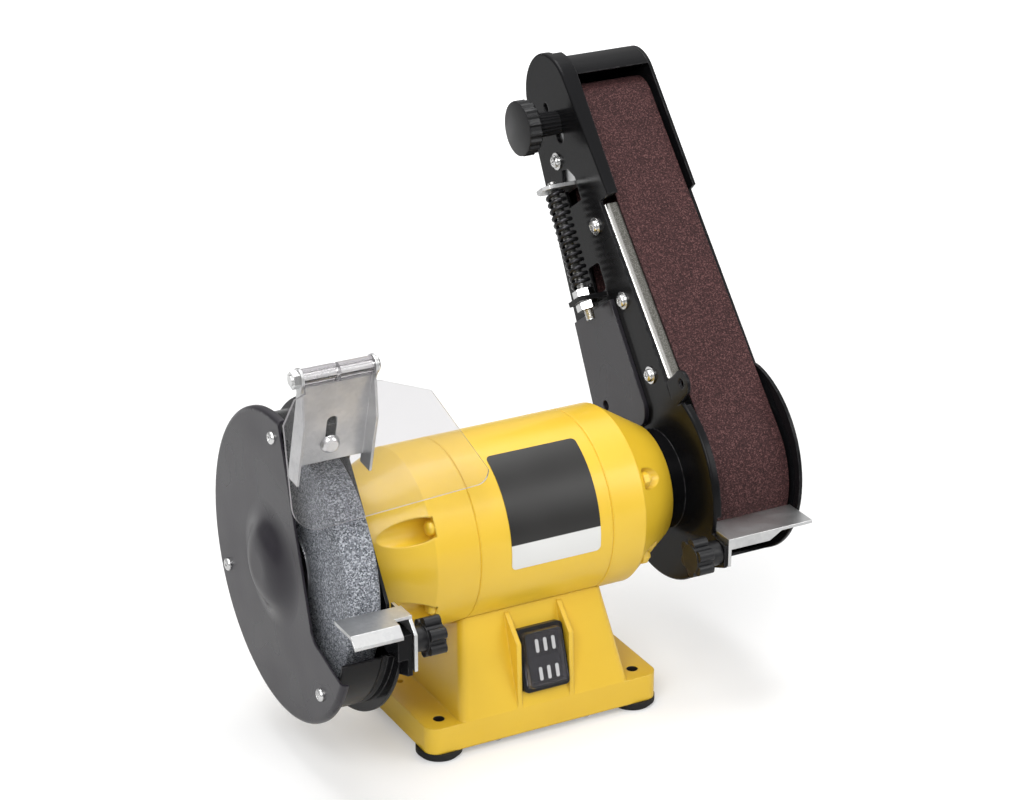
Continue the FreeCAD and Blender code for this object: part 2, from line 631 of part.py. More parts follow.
def switch():
    face = face_place("switch_rise", "switch_x", -1)
    half_x = "(switch_width / 2 - switch_lip)"
    half_z = "(switch_height / 2 - switch_lip)"
    inner_x = "(%s - switch_wall)" % half_x
    inner_z = "(%s - switch_wall)" % half_z
    bezel = new_body("bezel", face)
    prism(bezel, "XZ", [rounded("switch_width / 2", "switch_height / 2", "3")], "-switch_proud", "0")
    prism(bezel, "XZ", [rounded(half_x, half_z, "1")], "0", "switch_depth")
    prism(bezel, "XZ", [rectangle("-" + inner_x, "-" + inner_z, inner_x, inner_z)], "-switch_proud",
          "switch_depth - switch_wall", cut=True)
    prism(bezel, "YZ", [("0", "0", "rocker_pin + run_gap")], "-" + inner_x + " - switch_wall / 2",
          inner_x + " + switch_wall / 2", cut=True)
    keep("switch_bezel", bezel)

    rocker = new_body("rocker", face + " * " + placed("0", "0", "0", "1; 0; 0", "-rocker_rock"))
    reach = "(%s - rocker_gap - 0.6)" % inner_z
    front = "(switch_proud - 1.5)"
    side = [("4", "-4"), ("4", "4"), ("-1", reach), ("-%s - rocker_crown" % front, reach),
            ("-%s" % front, "0"), ("-%s - rocker_crown" % front, "-" + reach), ("-1", "-" + reach)]
    wide = "(%s - rocker_gap)" % inner_x
    prism(rocker, "YZ", [side], "-" + wide, wide)
    prism(rocker, "YZ", [("0", "0", "rocker_pin")], "-%s - switch_wall / 2 + run_gap" % inner_x,
          "%s + switch_wall / 2 - run_gap" % inner_x)
    keep("switch_rocker", rocker)

    boot = new_body("boot", face)
    wall_x = "(%s + 0.6)" % half_x
    wall_z = "(%s + 0.6)" % half_z
    crown = "-(switch_proud + boot_rise)"
    lofted(boot, "XZ", [
        (rounded(wall_x, wall_z, "3"), "switch_proud"),
        (rounded(wall_x + " - 1.2", wall_z + " - 1.2", "3"), "switch_proud + boot_rise"),
    ])
    prism(boot, "XZ", [rounded(wall_x + " - 1.2 - boot_wall", wall_z + " - 1.2 - boot_wall", "1.5")],
          crown + " + boot_wall", "-switch_proud", cut=True)
    marks = []
    for row in (-1, 1):
        for column in (-1, 0, 1):
            marks.append(slot("%d * 5.5" % column, "%d * 8.5 - 3" % row, "0", "6", "1.1"))
    prism(boot, "XZ", marks, crown + " - boot_rib", crown)
    keep("switch_boot", boot)


# Motor: housing in three castings held by four through bolts, with the stator, rotor and bearings inside.
LEFT_SEAM = "(-shell_length / 2)"
RIGHT_SEAM = "(shell_length / 2)"
LEFT_END = "(%s - left_barrel - left_taper)" % LEFT_SEAM
RIGHT_END = "(%s + right_barrel + right_taper)" % RIGHT_SEAM
PLATE = "(%s + arm_gap)" % RIGHT_END
BORE = "(motor_radius - housing_wall)"
BOLTS = [(turn, side) for side in (-1, 1) for turn in (-1, 1)]
LEFT_SEAT = "(%s - left_barrel + 2)" % LEFT_SEAM
RIGHT_SEAT = "(%s + right_barrel + 3)" % RIGHT_SEAM


def bolt_spot(turn, side):
    """Where a through bolt sits, from the shaft."""
    return "%d * bolt_circle * cos(bolt_angle)" % side, "%d * bolt_circle * sin(bolt_angle)" % turn


def bell(name, seam, barrel, end, nose, seat, side, pocket, extra):
    """An end bell; side is -1 on the left and 1 on the right."""
    body = new_body(name, SHAFT)
    edge = "%s + %d * (%s)" % (seam, side, barrel)
    bearing = "%s - %d * bell_wall" % (end, side)
    inner = "%s - %d * bearing_width" % (bearing, side)
    corners = [
        (seam, BORE),
        (seam, "motor_radius - seam"),
        ("%s + %d * seam" % (seam, side), "motor_radius"),
        (edge, "motor_radius"),
        (end, nose),
    ]
    corners += extra
    corners += [
        (bearing, "journal_radius + 2"),
        (bearing, "bearing_radius + fit_gap"),
        (inner, "bearing_radius + fit_gap"),
        (inner, "bearing_radius + 5"),
        ("%s - %d * 4" % (bearing, side), "bearing_radius + 5"),
        ("%s - %d * 4" % (bearing, side), "bearing_radius + 12"),
        ("%s - %d * 6" % (edge, side), "%s - 8" % BORE),
        ("%s - %d * 8" % (edge, side), BORE),
    ]
    turned(body, corners)
    spots = [bolt_spot(turn, other) for turn, other in BOLTS]
    low, high = (end, seam) if side < 0 else (seam, end)
    prism(body, "YZ", [(y, z, "housing_bolt + screw_gap") for y, z in spots], low, high, cut=True)
    low, high = (end + " - 1", seat) if side < 0 else (seat, end + " + 1")
    prism(body, "YZ", [(y, z, pocket) for y, z in spots], low, high, cut=True)
    return body


def motor():
    shell = new_body("shell", SHAFT)
    turned(shell, [(LEFT_SEAM, BORE), (RIGHT_SEAM, BORE), (RIGHT_SEAM, "motor_radius - seam"),
                   (RIGHT_SEAM + " - seam", "motor_radius"), (LEFT_SEAM + " + seam", "motor_radius"),
                   (LEFT_SEAM, "motor_radius - seam")])
    bores = [bolt_spot(turn, side) + ("housing_bolt + screw_gap",) for turn, side in BOLTS]
    prism(shell, "YZ", bores, LEFT_SEAM, RIGHT_SEAM, cut=True)
    taps = [("%d * saddle_screw_x" % side, "0", "saddle_screw + screw_gap") for side in (-1, 1)]
    prism(shell, "XY", taps, "-motor_radius - 1", "-%s" % BORE, cut=True)
    keep("motor_shell", shell)

    left = bell("left_bell", LEFT_SEAM, "left_barrel", LEFT_END, "left_nose", LEFT_SEAT, -1,
                "pocket_radius", [(LEFT_END, "journal_radius + 2")])
    guard_holes = [guard_spot(turn) + ("guard_screw + screw_gap",) for turn in GUARD_TURNS]
    prism(left, "YZ", guard_holes, LEFT_END, LEFT_END + " + bell_wall + 3", cut=True)
    keep("left_end_bell", left)
    neck_end = PLATE + " + frame_sheet"
    keep("right_end_bell", bell(
        "right_bell", RIGHT_SEAM, "right_barrel", RIGHT_END, "right_nose", RIGHT_SEAT, 1, "pocket_radius - 1",
        [(RIGHT_END, "neck_radius"), (neck_end, "neck_radius"), (neck_end, "journal_radius + 2")]))

    bolts = []
    for turn, side in BOLTS:
        y, z = bolt_spot(turn, side)
        spot = placed(LEFT_SEAT, y, "shaft_height + " + z, QUARTER, "90")
        bolts.append(screw("housing_bolt", "housing_bolt", "%s - %s + 6" % (RIGHT_SEAT, LEFT_SEAT),
                           "bolt_head", "4", spot))
        nut = new_body("housing_nut", placed("0", y, "shaft_height + " + z))
        hex_nut(nut, "bolt_head - 0.5", RIGHT_SEAT, RIGHT_SEAT + " + 4", "housing_bolt + screw_gap")
        bolts.append(nut)
    keep("housing_bolts", group("housing_bolts", bolts))

    core = new_body("stator", SHAFT)
    prism(core, "YZ", [("0", "0", BORE + " - fit_gap"), ("0", "0", "rotor_radius + air_gap")],
          "-core_length / 2", "core_length / 2")
    keep("stator_core", core)
    heads = []
    for side in (-1, 1):
        near = "%d * core_length / 2" % side
        far = "%d * (core_length / 2 + winding_length)" % side
        soft = "%d * (core_length / 2 + winding_length - 4)" % side
        head = new_body("winding", SHAFT)
        inner = "rotor_radius + air_gap + winding_gap"
        turned(head, [(near, inner), (soft, inner), (far, inner + " + 4"), (far, BORE + " - winding_gap - 4"),
                      (soft, BORE + " - winding_gap"), (near, BORE + " - winding_gap")])
        heads.append(head)
    keep("stator_windings", group("stator_windings", heads))

    rotor = new_body("rotor", SHAFT)
    prism(rotor, "YZ", [("0", "0", "rotor_radius"), ("0", "0", "shaft_radius + fit_gap")],
          "-core_length / 2", "core_length / 2")
    keep("rotor_core", rotor)

    left_journal = LEFT_END + " + bell_wall + bearing_width"
    right_journal = RIGHT_END + " - bell_wall - bearing_width"
    shaft = new_body("shaft", SHAFT)
    turned(shaft, [
        (SPINDLE_LEFT, "0"), (SPINDLE_LEFT, "spindle_radius - 1"), (SPINDLE_LEFT + " + 1", "spindle_radius"),
        (LEFT_SHOULDER, "spindle_radius"), (LEFT_SHOULDER, "journal_radius"), (left_journal, "journal_radius"),
        (left_journal, "shaft_radius"), (right_journal, "shaft_radius"), (right_journal, "journal_radius"),
        (HUB_START, "journal_radius"), (HUB_START, "spindle_radius"), (SPINDLE_RIGHT + " - 1", "spindle_radius"),
        (SPINDLE_RIGHT, "spindle_radius - 1"), (SPINDLE_RIGHT, "0"),
    ])
    keep("rotor_shaft", shaft)
    races = []
    for start in (LEFT_END + " + bell_wall", right_journal):
        race = new_body("bearing", SHAFT)
        prism(race, "YZ", [("0", "0", "bearing_radius"), ("0", "0", "journal_radius + run_gap")],
              start, start + " + bearing_width")
        races.append(race)
    keep("bearings", group("bearings", races))


# Grinding side: wheel between two flanges on the left spindle, in a steel guard.
LEFT_SHOULDER = "(%s - 1)" % LEFT_END
WHEEL_RIGHT = "(%s - flange_width)" % LEFT_SHOULDER
WHEEL_LEFT = "(%s - wheel_width)" % WHEEL_RIGHT
NUT_RIGHT = "(%s - flange_width)" % WHEEL_LEFT
SPINDLE_LEFT = "(%s - nut_width - spindle_proud)" % NUT_RIGHT
COVER = "(%s - cover_gap)" % WHEEL_LEFT
DRUM_LEFT = "(%s + guard_sheet + slide_gap)" % COVER
DISC_LEFT = "(%s - guard_disc)" % LEFT_END
GUARD_TURNS = (90, 210, 330)
COVER_TURNS = (89, -23, 225)
SPINDLE_BORE = "spindle_radius + fit_gap"
BRACKET = placed("bracket_x", "bracket_y", "shaft_height + bracket_z", "1; 0; 0", "bracket_lean")
HINGE = BRACKET + " * " + placed("0", "0", "hinge_rise")


def guard_spot(turn):
    """Where a guard screw sits, from the shaft."""
    return "guard_screw_circle * cos(%d)" % turn, "guard_screw_circle * sin(%d)" % turn


def cover_spot(turn):
    """Where a cover screw sits, from the shaft."""
    return "cover_screw_circle * cos(%d)" % turn, "cover_screw_circle * sin(%d)" % turn


def wheel():
    inner = new_body("inner_flange", SHAFT)
    turned(inner, [(WHEEL_RIGHT, SPINDLE_BORE), (LEFT_SHOULDER, SPINDLE_BORE), (LEFT_SHOULDER, "wheel_flange - 6"),
                   (WHEEL_RIGHT + " + 2", "wheel_flange"), (WHEEL_RIGHT, "wheel_flange"),
                   (WHEEL_RIGHT, "wheel_flange - 6"), (WHEEL_RIGHT + " + 0.8", "wheel_flange - 6"),
                   (WHEEL_RIGHT + " + 0.8", "spindle_radius + 4"), (WHEEL_RIGHT, "spindle_radius + 4")])
    keep("inner_flange", inner)
    stone = new_body("stone", SHAFT)
    turned(stone, [(WHEEL_LEFT, SPINDLE_BORE), (WHEEL_RIGHT, SPINDLE_BORE),
                   (WHEEL_RIGHT, "wheel_radius - wheel_chamfer"),
                   (WHEEL_RIGHT + " - wheel_chamfer", "wheel_radius"),
                   (WHEEL_LEFT + " + wheel_chamfer", "wheel_radius"),
                   (WHEEL_LEFT, "wheel_radius - wheel_chamfer")])
    keep("grinding_wheel", stone)
    outer = new_body("outer_flange", SHAFT)
    turned(outer, [(NUT_RIGHT, SPINDLE_BORE), (WHEEL_LEFT, SPINDLE_BORE), (WHEEL_LEFT, "spindle_radius + 4"),
                   (WHEEL_LEFT + " - 0.8", "spindle_radius + 4"), (WHEEL_LEFT + " - 0.8", "wheel_flange - 6"),
                   (WHEEL_LEFT, "wheel_flange - 6"), (WHEEL_LEFT, "wheel_flange"),
                   (WHEEL_LEFT + " - 2", "wheel_flange"), (NUT_RIGHT, "wheel_flange - 6")])
    keep("outer_flange", outer)
    nut = new_body("wheel_nut", SHAFT)
    hex_nut(nut, "nut_half", NUT_RIGHT + " - nut_width", NUT_RIGHT, SPINDLE_BORE)
    keep("wheel_nut", nut)


def ahead(turn, reach):
    """A point ahead of the top by an angle, at a distance from the shaft."""
    return "-(%s) * sin(%s)" % (reach, turn), "%s * cos(%s)" % (reach, turn)


def under(turn, reach):
    """A point under the shaft line by an angle, in front, at a distance from the shaft."""
    return "-(%s) * cos(%s)" % (reach, turn), "-(%s) * sin(%s)" % (reach, turn)


def front_opening(turn_top, reach_top, reach_low, middle):
    """Outline of what is cut away in front of the wheel."""
    far = "2 * guard_rim"
    high = ahead(turn_top, far)
    low = under("drum_open_low", far)
    return [ahead(turn_top, reach_top), high, ("-" + far, high[1]), ("-" + far, low[1]), low,
            under("drum_open_low", reach_low)] + middle


def guard():
    shell = new_body("drum", SHAFT)
    inside = "drum_radius - guard_sheet"
    bead = DISC_LEFT + " - %s"
    turned(shell, [
        (LEFT_END, "disc_bore"), (LEFT_END, "guard_rim"), (DISC_LEFT, "guard_rim"), (DISC_LEFT, "drum_radius"),
        (bead % "4", "drum_radius"), (bead % "5", "drum_radius - drum_groove"),
        (bead % "7", "drum_radius - drum_groove"), (bead % "8", "drum_radius"),
        (DRUM_LEFT, "drum_radius"), (DRUM_LEFT, inside), (bead % "8", inside),
        (bead % "7", inside + " - drum_groove"), (bead % "5", inside + " - drum_groove"), (bead % "4", inside),
        (DISC_LEFT, inside), (DISC_LEFT, "disc_bore"),
    ])
    reach = "(drum_radius * 0.7)"
    prism(shell, "YZ", [front_opening("drum_open_top", reach, reach, [])], DRUM_LEFT + " - 1", DISC_LEFT, cut=True)
    prism(shell, "YZ", [front_opening("disc_open_top", "wheel_radius - 5", "wheel_radius + 4",
                                      [("1 - wheel_radius", "0")])], DISC_LEFT, LEFT_END, cut=True)
    prism(shell, "YZ", [guard_spot(turn) + ("guard_screw + screw_gap",) for turn in GUARD_TURNS],
          DISC_LEFT, LEFT_END, cut=True)
    lugs = new_body("lugs", SHAFT)
    prism(lugs, "YZ", [cover_spot(turn) + ("lug_radius",) for turn in COVER_TURNS],
          DRUM_LEFT, DRUM_LEFT + " + lug_length")
    trim = new_body("lug_trim", SHAFT)
    prism(trim, "YZ", [("0", "0", "drum_radius - guard_sheet / 2")], DRUM_LEFT, DRUM_LEFT + " + lug_length")
    trimmed = doc.addObject("Part::Common", "lugs_trimmed")
    trimmed.Base = lugs
    trimmed.Tool = trim
    tab = new_body("drum_tab", BRACKET)
    prism(tab, "XZ", [rounded("15", "13", "3", "0", "-1"), ("0", "0", "bracket_bolt + screw_gap")],
          "0", "guard_sheet")
    bores = new_body("lug_bores", SHAFT)
    prism(bores, "YZ", [cover_spot(turn) + ("guard_screw + screw_gap",) for turn in COVER_TURNS],
          DRUM_LEFT + " - 1", DRUM_LEFT + " + lug_length + 1")
    keep("guard_drum", less("drum", joined("drum", shell, trimmed, tab), bores))

    pan = new_body("cover", SHAFT)
    turned(pan, [
        (COVER, "0"), (COVER, "guard_rim - lip_radius", "-lip_radius"),
        (COVER + " + lip_radius", "guard_rim"), (COVER + " + lip_radius + 1.5", "guard_rim"),
        (COVER + " + lip_radius + 1.5", "guard_rim - guard_sheet"),
        (COVER + " + lip_radius", "guard_rim - guard_sheet", "(lip_radius - guard_sheet)"),
        (COVER + " + guard_sheet", "guard_rim - lip_radius"), (COVER + " + guard_sheet", "0"),
    ])
    far = "2 * guard_rim"
    edge = [
        ("cover_cut_top", "guard_rim"), ("cover_kink_y + 3", "cover_kink_z + 9", "-cover_kink_radius"),
        ("cover_kink_y - 8", "cover_kink_z - 2"), ("-guard_rim", "cover_kink_z - 13"),
        ("-" + far, "cover_kink_z - 13"), ("-" + far, far), ("cover_cut_top", far),
    ]
    prism(pan, "YZ", [edge], COVER + " - 1", COVER + " + lip_radius + 3", cut=True)
    prism(pan, "YZ", [("dome_back", "-dome_drop", "dome_base")],
          COVER + " - 1", COVER + " + guard_sheet + 1", cut=True)
    prism(pan, "YZ", [cover_spot(turn) + ("guard_screw + screw_gap",) for turn in COVER_TURNS],
          COVER + " - 1", COVER + " + guard_sheet + 1", cut=True)
    dome = new_body("dome", placed("0", "dome_back", "shaft_height - dome_drop"))
    crest = COVER + " - dome_height"
    slope = "(%s - dome_height / 2)" % COVER
    bend = "(((dome_base - dome_top) ^ 2 + dome_height ^ 2) / (4 * dome_height))"
    middle = "(dome_base + dome_top) / 2"
    turned(dome, [
        (crest, "0"), (crest, "dome_top", "-" + bend), (slope, middle, bend), (COVER, "dome_base"),
        (COVER + " + guard_sheet", "dome_base", "-" + bend), (slope + " + guard_sheet", middle, bend),
        (crest + " + guard_sheet", "dome_top"), (crest + " + guard_sheet", "0"),
    ])
    keep("guard_cover", joined("cover", pan, dome))

    heads = []
    for turn in COVER_TURNS:
        y, z = cover_spot(turn)
        heads.append(screw("cover_screw", "guard_screw", "guard_sheet + lug_length", "guard_head", "2.4",
                           placed(COVER, y, "shaft_height + " + z, QUARTER, "90")))
    keep("cover_screws", group("cover_screws", heads))
    heads = []
    for turn in GUARD_TURNS:
        y, z = guard_spot(turn)
        heads.append(screw("guard_screw", "guard_screw", "guard_disc + bell_wall", "guard_head", "2",
                           placed(DISC_LEFT, y, "shaft_height + " + z, QUARTER, "90")))
    keep("guard_screws", group("guard_screws", heads))


# Eye shield on a slotted bracket.
def eye_shield():
    half = "(bracket_width / 2)"
    channel = new_body("bracket", BRACKET)
    hole = slot("0", "-slide_gap", "0", "bracket_slot - 2 * bracket_bolt", "bracket_bolt + slide_gap")
    prism(channel, "XZ", [rectangle("-" + half, "-bracket_down", half, "bracket_up"), hole], "-bracket_sheet", "0")
    side = [
        ("-bracket_flange", "2 - bracket_side"), ("0", "-bracket_side"), ("0", "hinge_rise - 9"),
        ("hinge_ear", "hinge_rise", "hinge_ear"), ("0", "hinge_rise + hinge_ear", "hinge_ear"),
        ("-hinge_ear", "hinge_rise"), ("1.5 - hinge_ear", "hinge_rise - 7"), ("-bracket_flange", "hinge_rise - 28"),
    ]
    prism(channel, "YZ", [side], "-" + half, "-%s + bracket_sheet" % half)
    prism(channel, "YZ", [side], half + " - bracket_sheet", half)
    prism(channel, "YZ", [("0", "hinge_rise", "hinge_bolt + screw_gap")], "-%s - 1" % half, half + " + 1", cut=True)
    keep("shield_bracket", channel)

    bolt = screw("bracket_bolt", "bracket_bolt", "bracket_sheet + slide_gap + guard_sheet + 6", "6", "3.5",
                 BRACKET + " * " + placed("0", "-bracket_sheet - slide_gap", "0", "1; 0; 0", "-90"))
    nut = new_body("bracket_nut", BRACKET + " * " + placed("0", "0", "0", "0; 0; 1", "90"))
    hex_nut(nut, "5", "guard_sheet", "guard_sheet + 4", "bracket_bolt + screw_gap")
    keep("bracket_bolt", group("bracket_bolt", [bolt, nut]))

    pin = new_body("hinge_pin", HINGE)
    turned(pin, [("-%s - 5" % half, "0"), (half + " + 2.2", "0"), (half + " + 2.2", "hinge_bolt + 1"),
                 (half + " + 1.2", "hinge_bolt + 2"), (half, "hinge_bolt + 2"), (half, "hinge_bolt"),
                 ("-%s - 5" % half, "hinge_bolt")])
    pin_nut = new_body("hinge_nut", HINGE)
    hex_nut(pin_nut, "4.6", "-%s - 4" % half, "-" + half, "hinge_bolt + screw_gap")
    keep("hinge_bolt", group("hinge_bolt", [pin, pin_nut]))

    clear = new_body("shield", placed(
        "bracket_x", "bracket_y - hinge_rise * sin(bracket_lean)",
        "shaft_height + bracket_z + hinge_rise * cos(bracket_lean)", "-1; 0; 0", "shield_lean"))
    neck = "(%s - bracket_sheet - slide_gap)" % half
    pane = [
        ("-" + neck, "0"), ("-" + neck, "-8"), ("-%s - 5" % half, "-10"), ("-shield_left", "-23"),
        ("-shield_left", "shield_corner - shield_drop", "shield_corner"),
        ("shield_corner - shield_left", "-shield_drop"), ("shield_right - 11", "5 - shield_drop", "8"),
        ("shield_right - 4", "13 - shield_drop"), ("shield_right - 35", "-20"), ("%s + 2" % half, "-9"),
        (neck, "-8"), (neck, "0"),
    ]
    prism(clear, "XZ", [pane], "-barrel_radius", "shield_sheet - barrel_radius")
    prism(clear, "YZ", [("0", "0", "barrel_radius")], "-" + neck, "-1")
    prism(clear, "YZ", [("0", "0", "barrel_radius")], "1", neck)
    prism(clear, "YZ", [("0", "0", "hinge_bolt + screw_gap")], "-%s - 1" % neck, neck + " + 1", cut=True)
    keep("eye_shield", clear)


# Wheel rest on its arm, with a lobed clamping knob.
ARM_RIGHT = "(%s + arm_sheet)" % LEFT_END
REST_SIDE = "(%s + slide_gap)" % ARM_RIGHT
REST_BACK = "(-wheel_radius - rest_gap)"
REST_FRONT = "(%s - rest_depth)" % REST_BACK


def lobed_knob(name, place, stud):
    """A knob whose hub faces its place, with lobes further along X and a stud the other way."""
    body = new_body(name, place)
    prism(body, "YZ", [("0", "0", "knob_hub")], "0", "knob_hub_length")
    head_end = "knob_hub_length + knob_width"
    prism(body, "YZ", [("0", "0", "knob_radius")], "knob_hub_length", head_end)
    lobe = prism(body, "YZ", [("0", "knob_radius", "knob_lobe")], "knob_hub_length + 0.5", head_end + " - 0.5")
    polar(body, lobe, "X", 6)
    prism(body, "YZ", [("0", "0", "stud_radius")], "-(%s)" % stud, "0")
    return body


def wheel_rest():
    bore = ("stud_y", "-stud_drop", "stud_radius + screw_gap")
    top = "(arm_height / 2 - stud_drop - 4)"
    front = "(stud_y - 9)"
    arm = new_body("rest_arm", SHAFT)
    step = "(stud_y + 9)"
    low = "(%s - arm_height)" % top
    outline = [
        ("-wheel_radius * 0.66", "-wheel_radius * 0.5"), ("-wheel_radius * 0.8", "-wheel_radius * 0.72"),
        (step, low + " - 6"), (front, low), (front, top), (step, top), (step, top + " - 13"),
    ]
    prism(arm, "YZ", [outline], LEFT_END, ARM_RIGHT)
    prism(arm, "YZ", [rectangle(front, "-stud_drop - 6.5", step, top)], LEFT_END + " - 6", LEFT_END)
    prism(arm, "YZ", [bore], LEFT_END + " - 5", ARM_RIGHT, cut=True)
    keep("wheel_rest_arm", arm)

    table = new_body("rest", SHAFT)
    left = "(%s - rest_overhang)" % WHEEL_LEFT
    right = "(%s + rest_sheet)" % REST_SIDE
    prism(table, "YZ", [rectangle(REST_FRONT, "-rest_sheet", REST_BACK, "0")], left, right)
    lip = [(REST_FRONT, "0"), (REST_FRONT + " - rest_lip * 0.8", "-rest_lip_drop"),
           (REST_FRONT + " - rest_lip * 0.8", "-rest_lip_drop - rest_sheet"), (REST_FRONT, "-rest_sheet")]
    prism(table, "YZ", [lip], left, LEFT_END + " - 6")
    side = [
        (REST_FRONT, "-rest_flange_drop"), ("stud_y + rest_travel + stud_radius + 4", "-rest_flange_drop"),
        ("stud_y + rest_travel + stud_radius + 4", "-rest_sheet"), (REST_FRONT + " + 7", "-rest_sheet"),
        (REST_FRONT, "-rest_sheet - 7"),
    ]
    hole = slot("stud_y - rest_back", "-stud_drop", "rest_travel + rest_back", "0", "stud_radius + slide_gap")
    prism(table, "YZ", [side, hole], REST_SIDE, right)
    prism(table, "XY", [rectangle(LEFT_END + " - 6", REST_FRONT + " - 1", right + " + 1", REST_FRONT + " + 7")],
          "-rest_sheet", "1", cut=True)
    keep("wheel_rest", table)
    spot = placed(right + " + slide_gap", "stud_y", "shaft_height - stud_drop")
    keep("wheel_rest_knob", lobed_knob("rest_knob", spot, "2 * slide_gap + rest_sheet + arm_sheet + 4"))


# Belt arm: a pressed frame that turns on the neck of the right bell and carries the belt.
ARM = placed("0", "0", "shaft_height", "-1; 0; 0", "arm_tilt")
IDLER = ARM + " * " + placed("0", "0", "centre_distance")
TRACKING = ARM + " * " + placed("0", "0", "centre_distance - tracking_drop")
INSIDE = "(%s + frame_sheet)" % PLATE
BELT_LEFT = "(%s + belt_side)" % INSIDE
BELT_RIGHT = "(%s + belt_width)" % BELT_LEFT
SIDE = "(%s + belt_cover_gap)" % BELT_RIGHT
HUB_START = "(%s - 2)" % BELT_LEFT
DRIVE_NUT = "(%s + belt_width - 10)" % HUB_START
SPINDLE_RIGHT = "(%s + nut_width + spindle_proud)" % DRIVE_NUT
RUN_SIN = "((drive_radius - idler_radius) / centre_distance)"
RUN_COS = "sqrt(1 - %s ^ 2)" % RUN_SIN
RUN = ARM + " * " + placed("0", "0", "0", "-1; 0; 0", "asin(%s)" % RUN_SIN)
NOSE_REACH = "sqrt(nose_back ^ 2 + nose_rise ^ 2)"
TAB_LOW = "(tension_foot + spring_length)"
TENSION_X = "(%s - tension_out)" % PLATE
CARRIER_LEFT = "(%s + slide_gap)" % INSIDE
CARRIER_RIGHT = "(%s + carrier_sheet)" % CARRIER_LEFT
PLATEN_TURNS = ("platen_low + 8.5", "(platen_low + platen_high) / 2", "platen_high - 8")


def nose_touch(y, z, radius):
    """Where a straight front edge from a point touches the round upper end."""
    away = ("(%s - nose_back)" % y, "(%s - nose_rise)" % z)
    reach = "(%s ^ 2 + %s ^ 2)" % away
    along = "(%s) ^ 2 / %s" % (radius, reach)
    across = "(%s) * sqrt(%s - (%s) ^ 2) / %s" % (radius, reach, radius, reach)
    return ("nose_back + %s * %s + %s * %s" % (along, away[0], across, away[1]),
            "nose_rise + %s * %s - %s * %s" % (along, away[1], across, away[0]))


def back_way(low, high):
    """The way square to the straight back edge between a lower and an upper round end."""
    sine = "((%s - %s) / %s)" % (low, high, NOSE_REACH)
    cosine = "sqrt(1 - %s ^ 2)" % sine
    return ("((nose_back * %s + nose_rise * %s) / %s)" % (sine, cosine, NOSE_REACH),
            "((nose_rise * %s - nose_back * %s) / %s)" % (sine, cosine, NOSE_REACH))


def arm_back(low, high):
    """A lower end, back edge and upper end of the arm."""
    y, z = back_way(low, high)
    return [
        ("0", "-" + low, low),
        ("%s * %s" % (low, y), "%s * %s" % (low, z)),
        ("nose_back + %s * %s" % (high, y), "nose_rise + %s * %s" % (high, z), high),
    ]


def back_at(low, high, inset, rise):
    """How far behind the arm's line a straight back edge lies at a height, less an inset."""
    y, z = back_way(low, high)
    return "((%s - %s - %s * %s) / %s)" % (low, inset, rise, z, y)


def arm_outline(inset):
    """The arm's plate, or its inside."""
    low = "(frame_radius - %s)" % inset
    high = "(nose_radius - %s)" % inset
    foot = ("(%s - plate_front - rim_proud)" % inset, "(rim_foot + %s)" % inset)
    return [("-%s * cos(disc_open)" % low, "%s * sin(disc_open)" % low, low)] + arm_back(low, high) + [
        nose_touch(foot[0], foot[1], high),
        foot,
        ("%s - plate_front" % inset, "rim_foot - 1 + %s" % inset),
        ("%s - plate_front_low" % inset, "plate_low"),
        ("%s - notch_front" % inset, "%s * sin(disc_open)" % low),
    ]


def run_spot(depth, along):
    """A point of the arm, from its distance to the belt's face line and along the belt's front run."""
    return ("-%s * (%s) + %s * (%s)" % (RUN_COS, depth, RUN_SIN, along),
            "%s * (%s) + %s * (%s)" % (RUN_SIN, depth, RUN_COS, along))


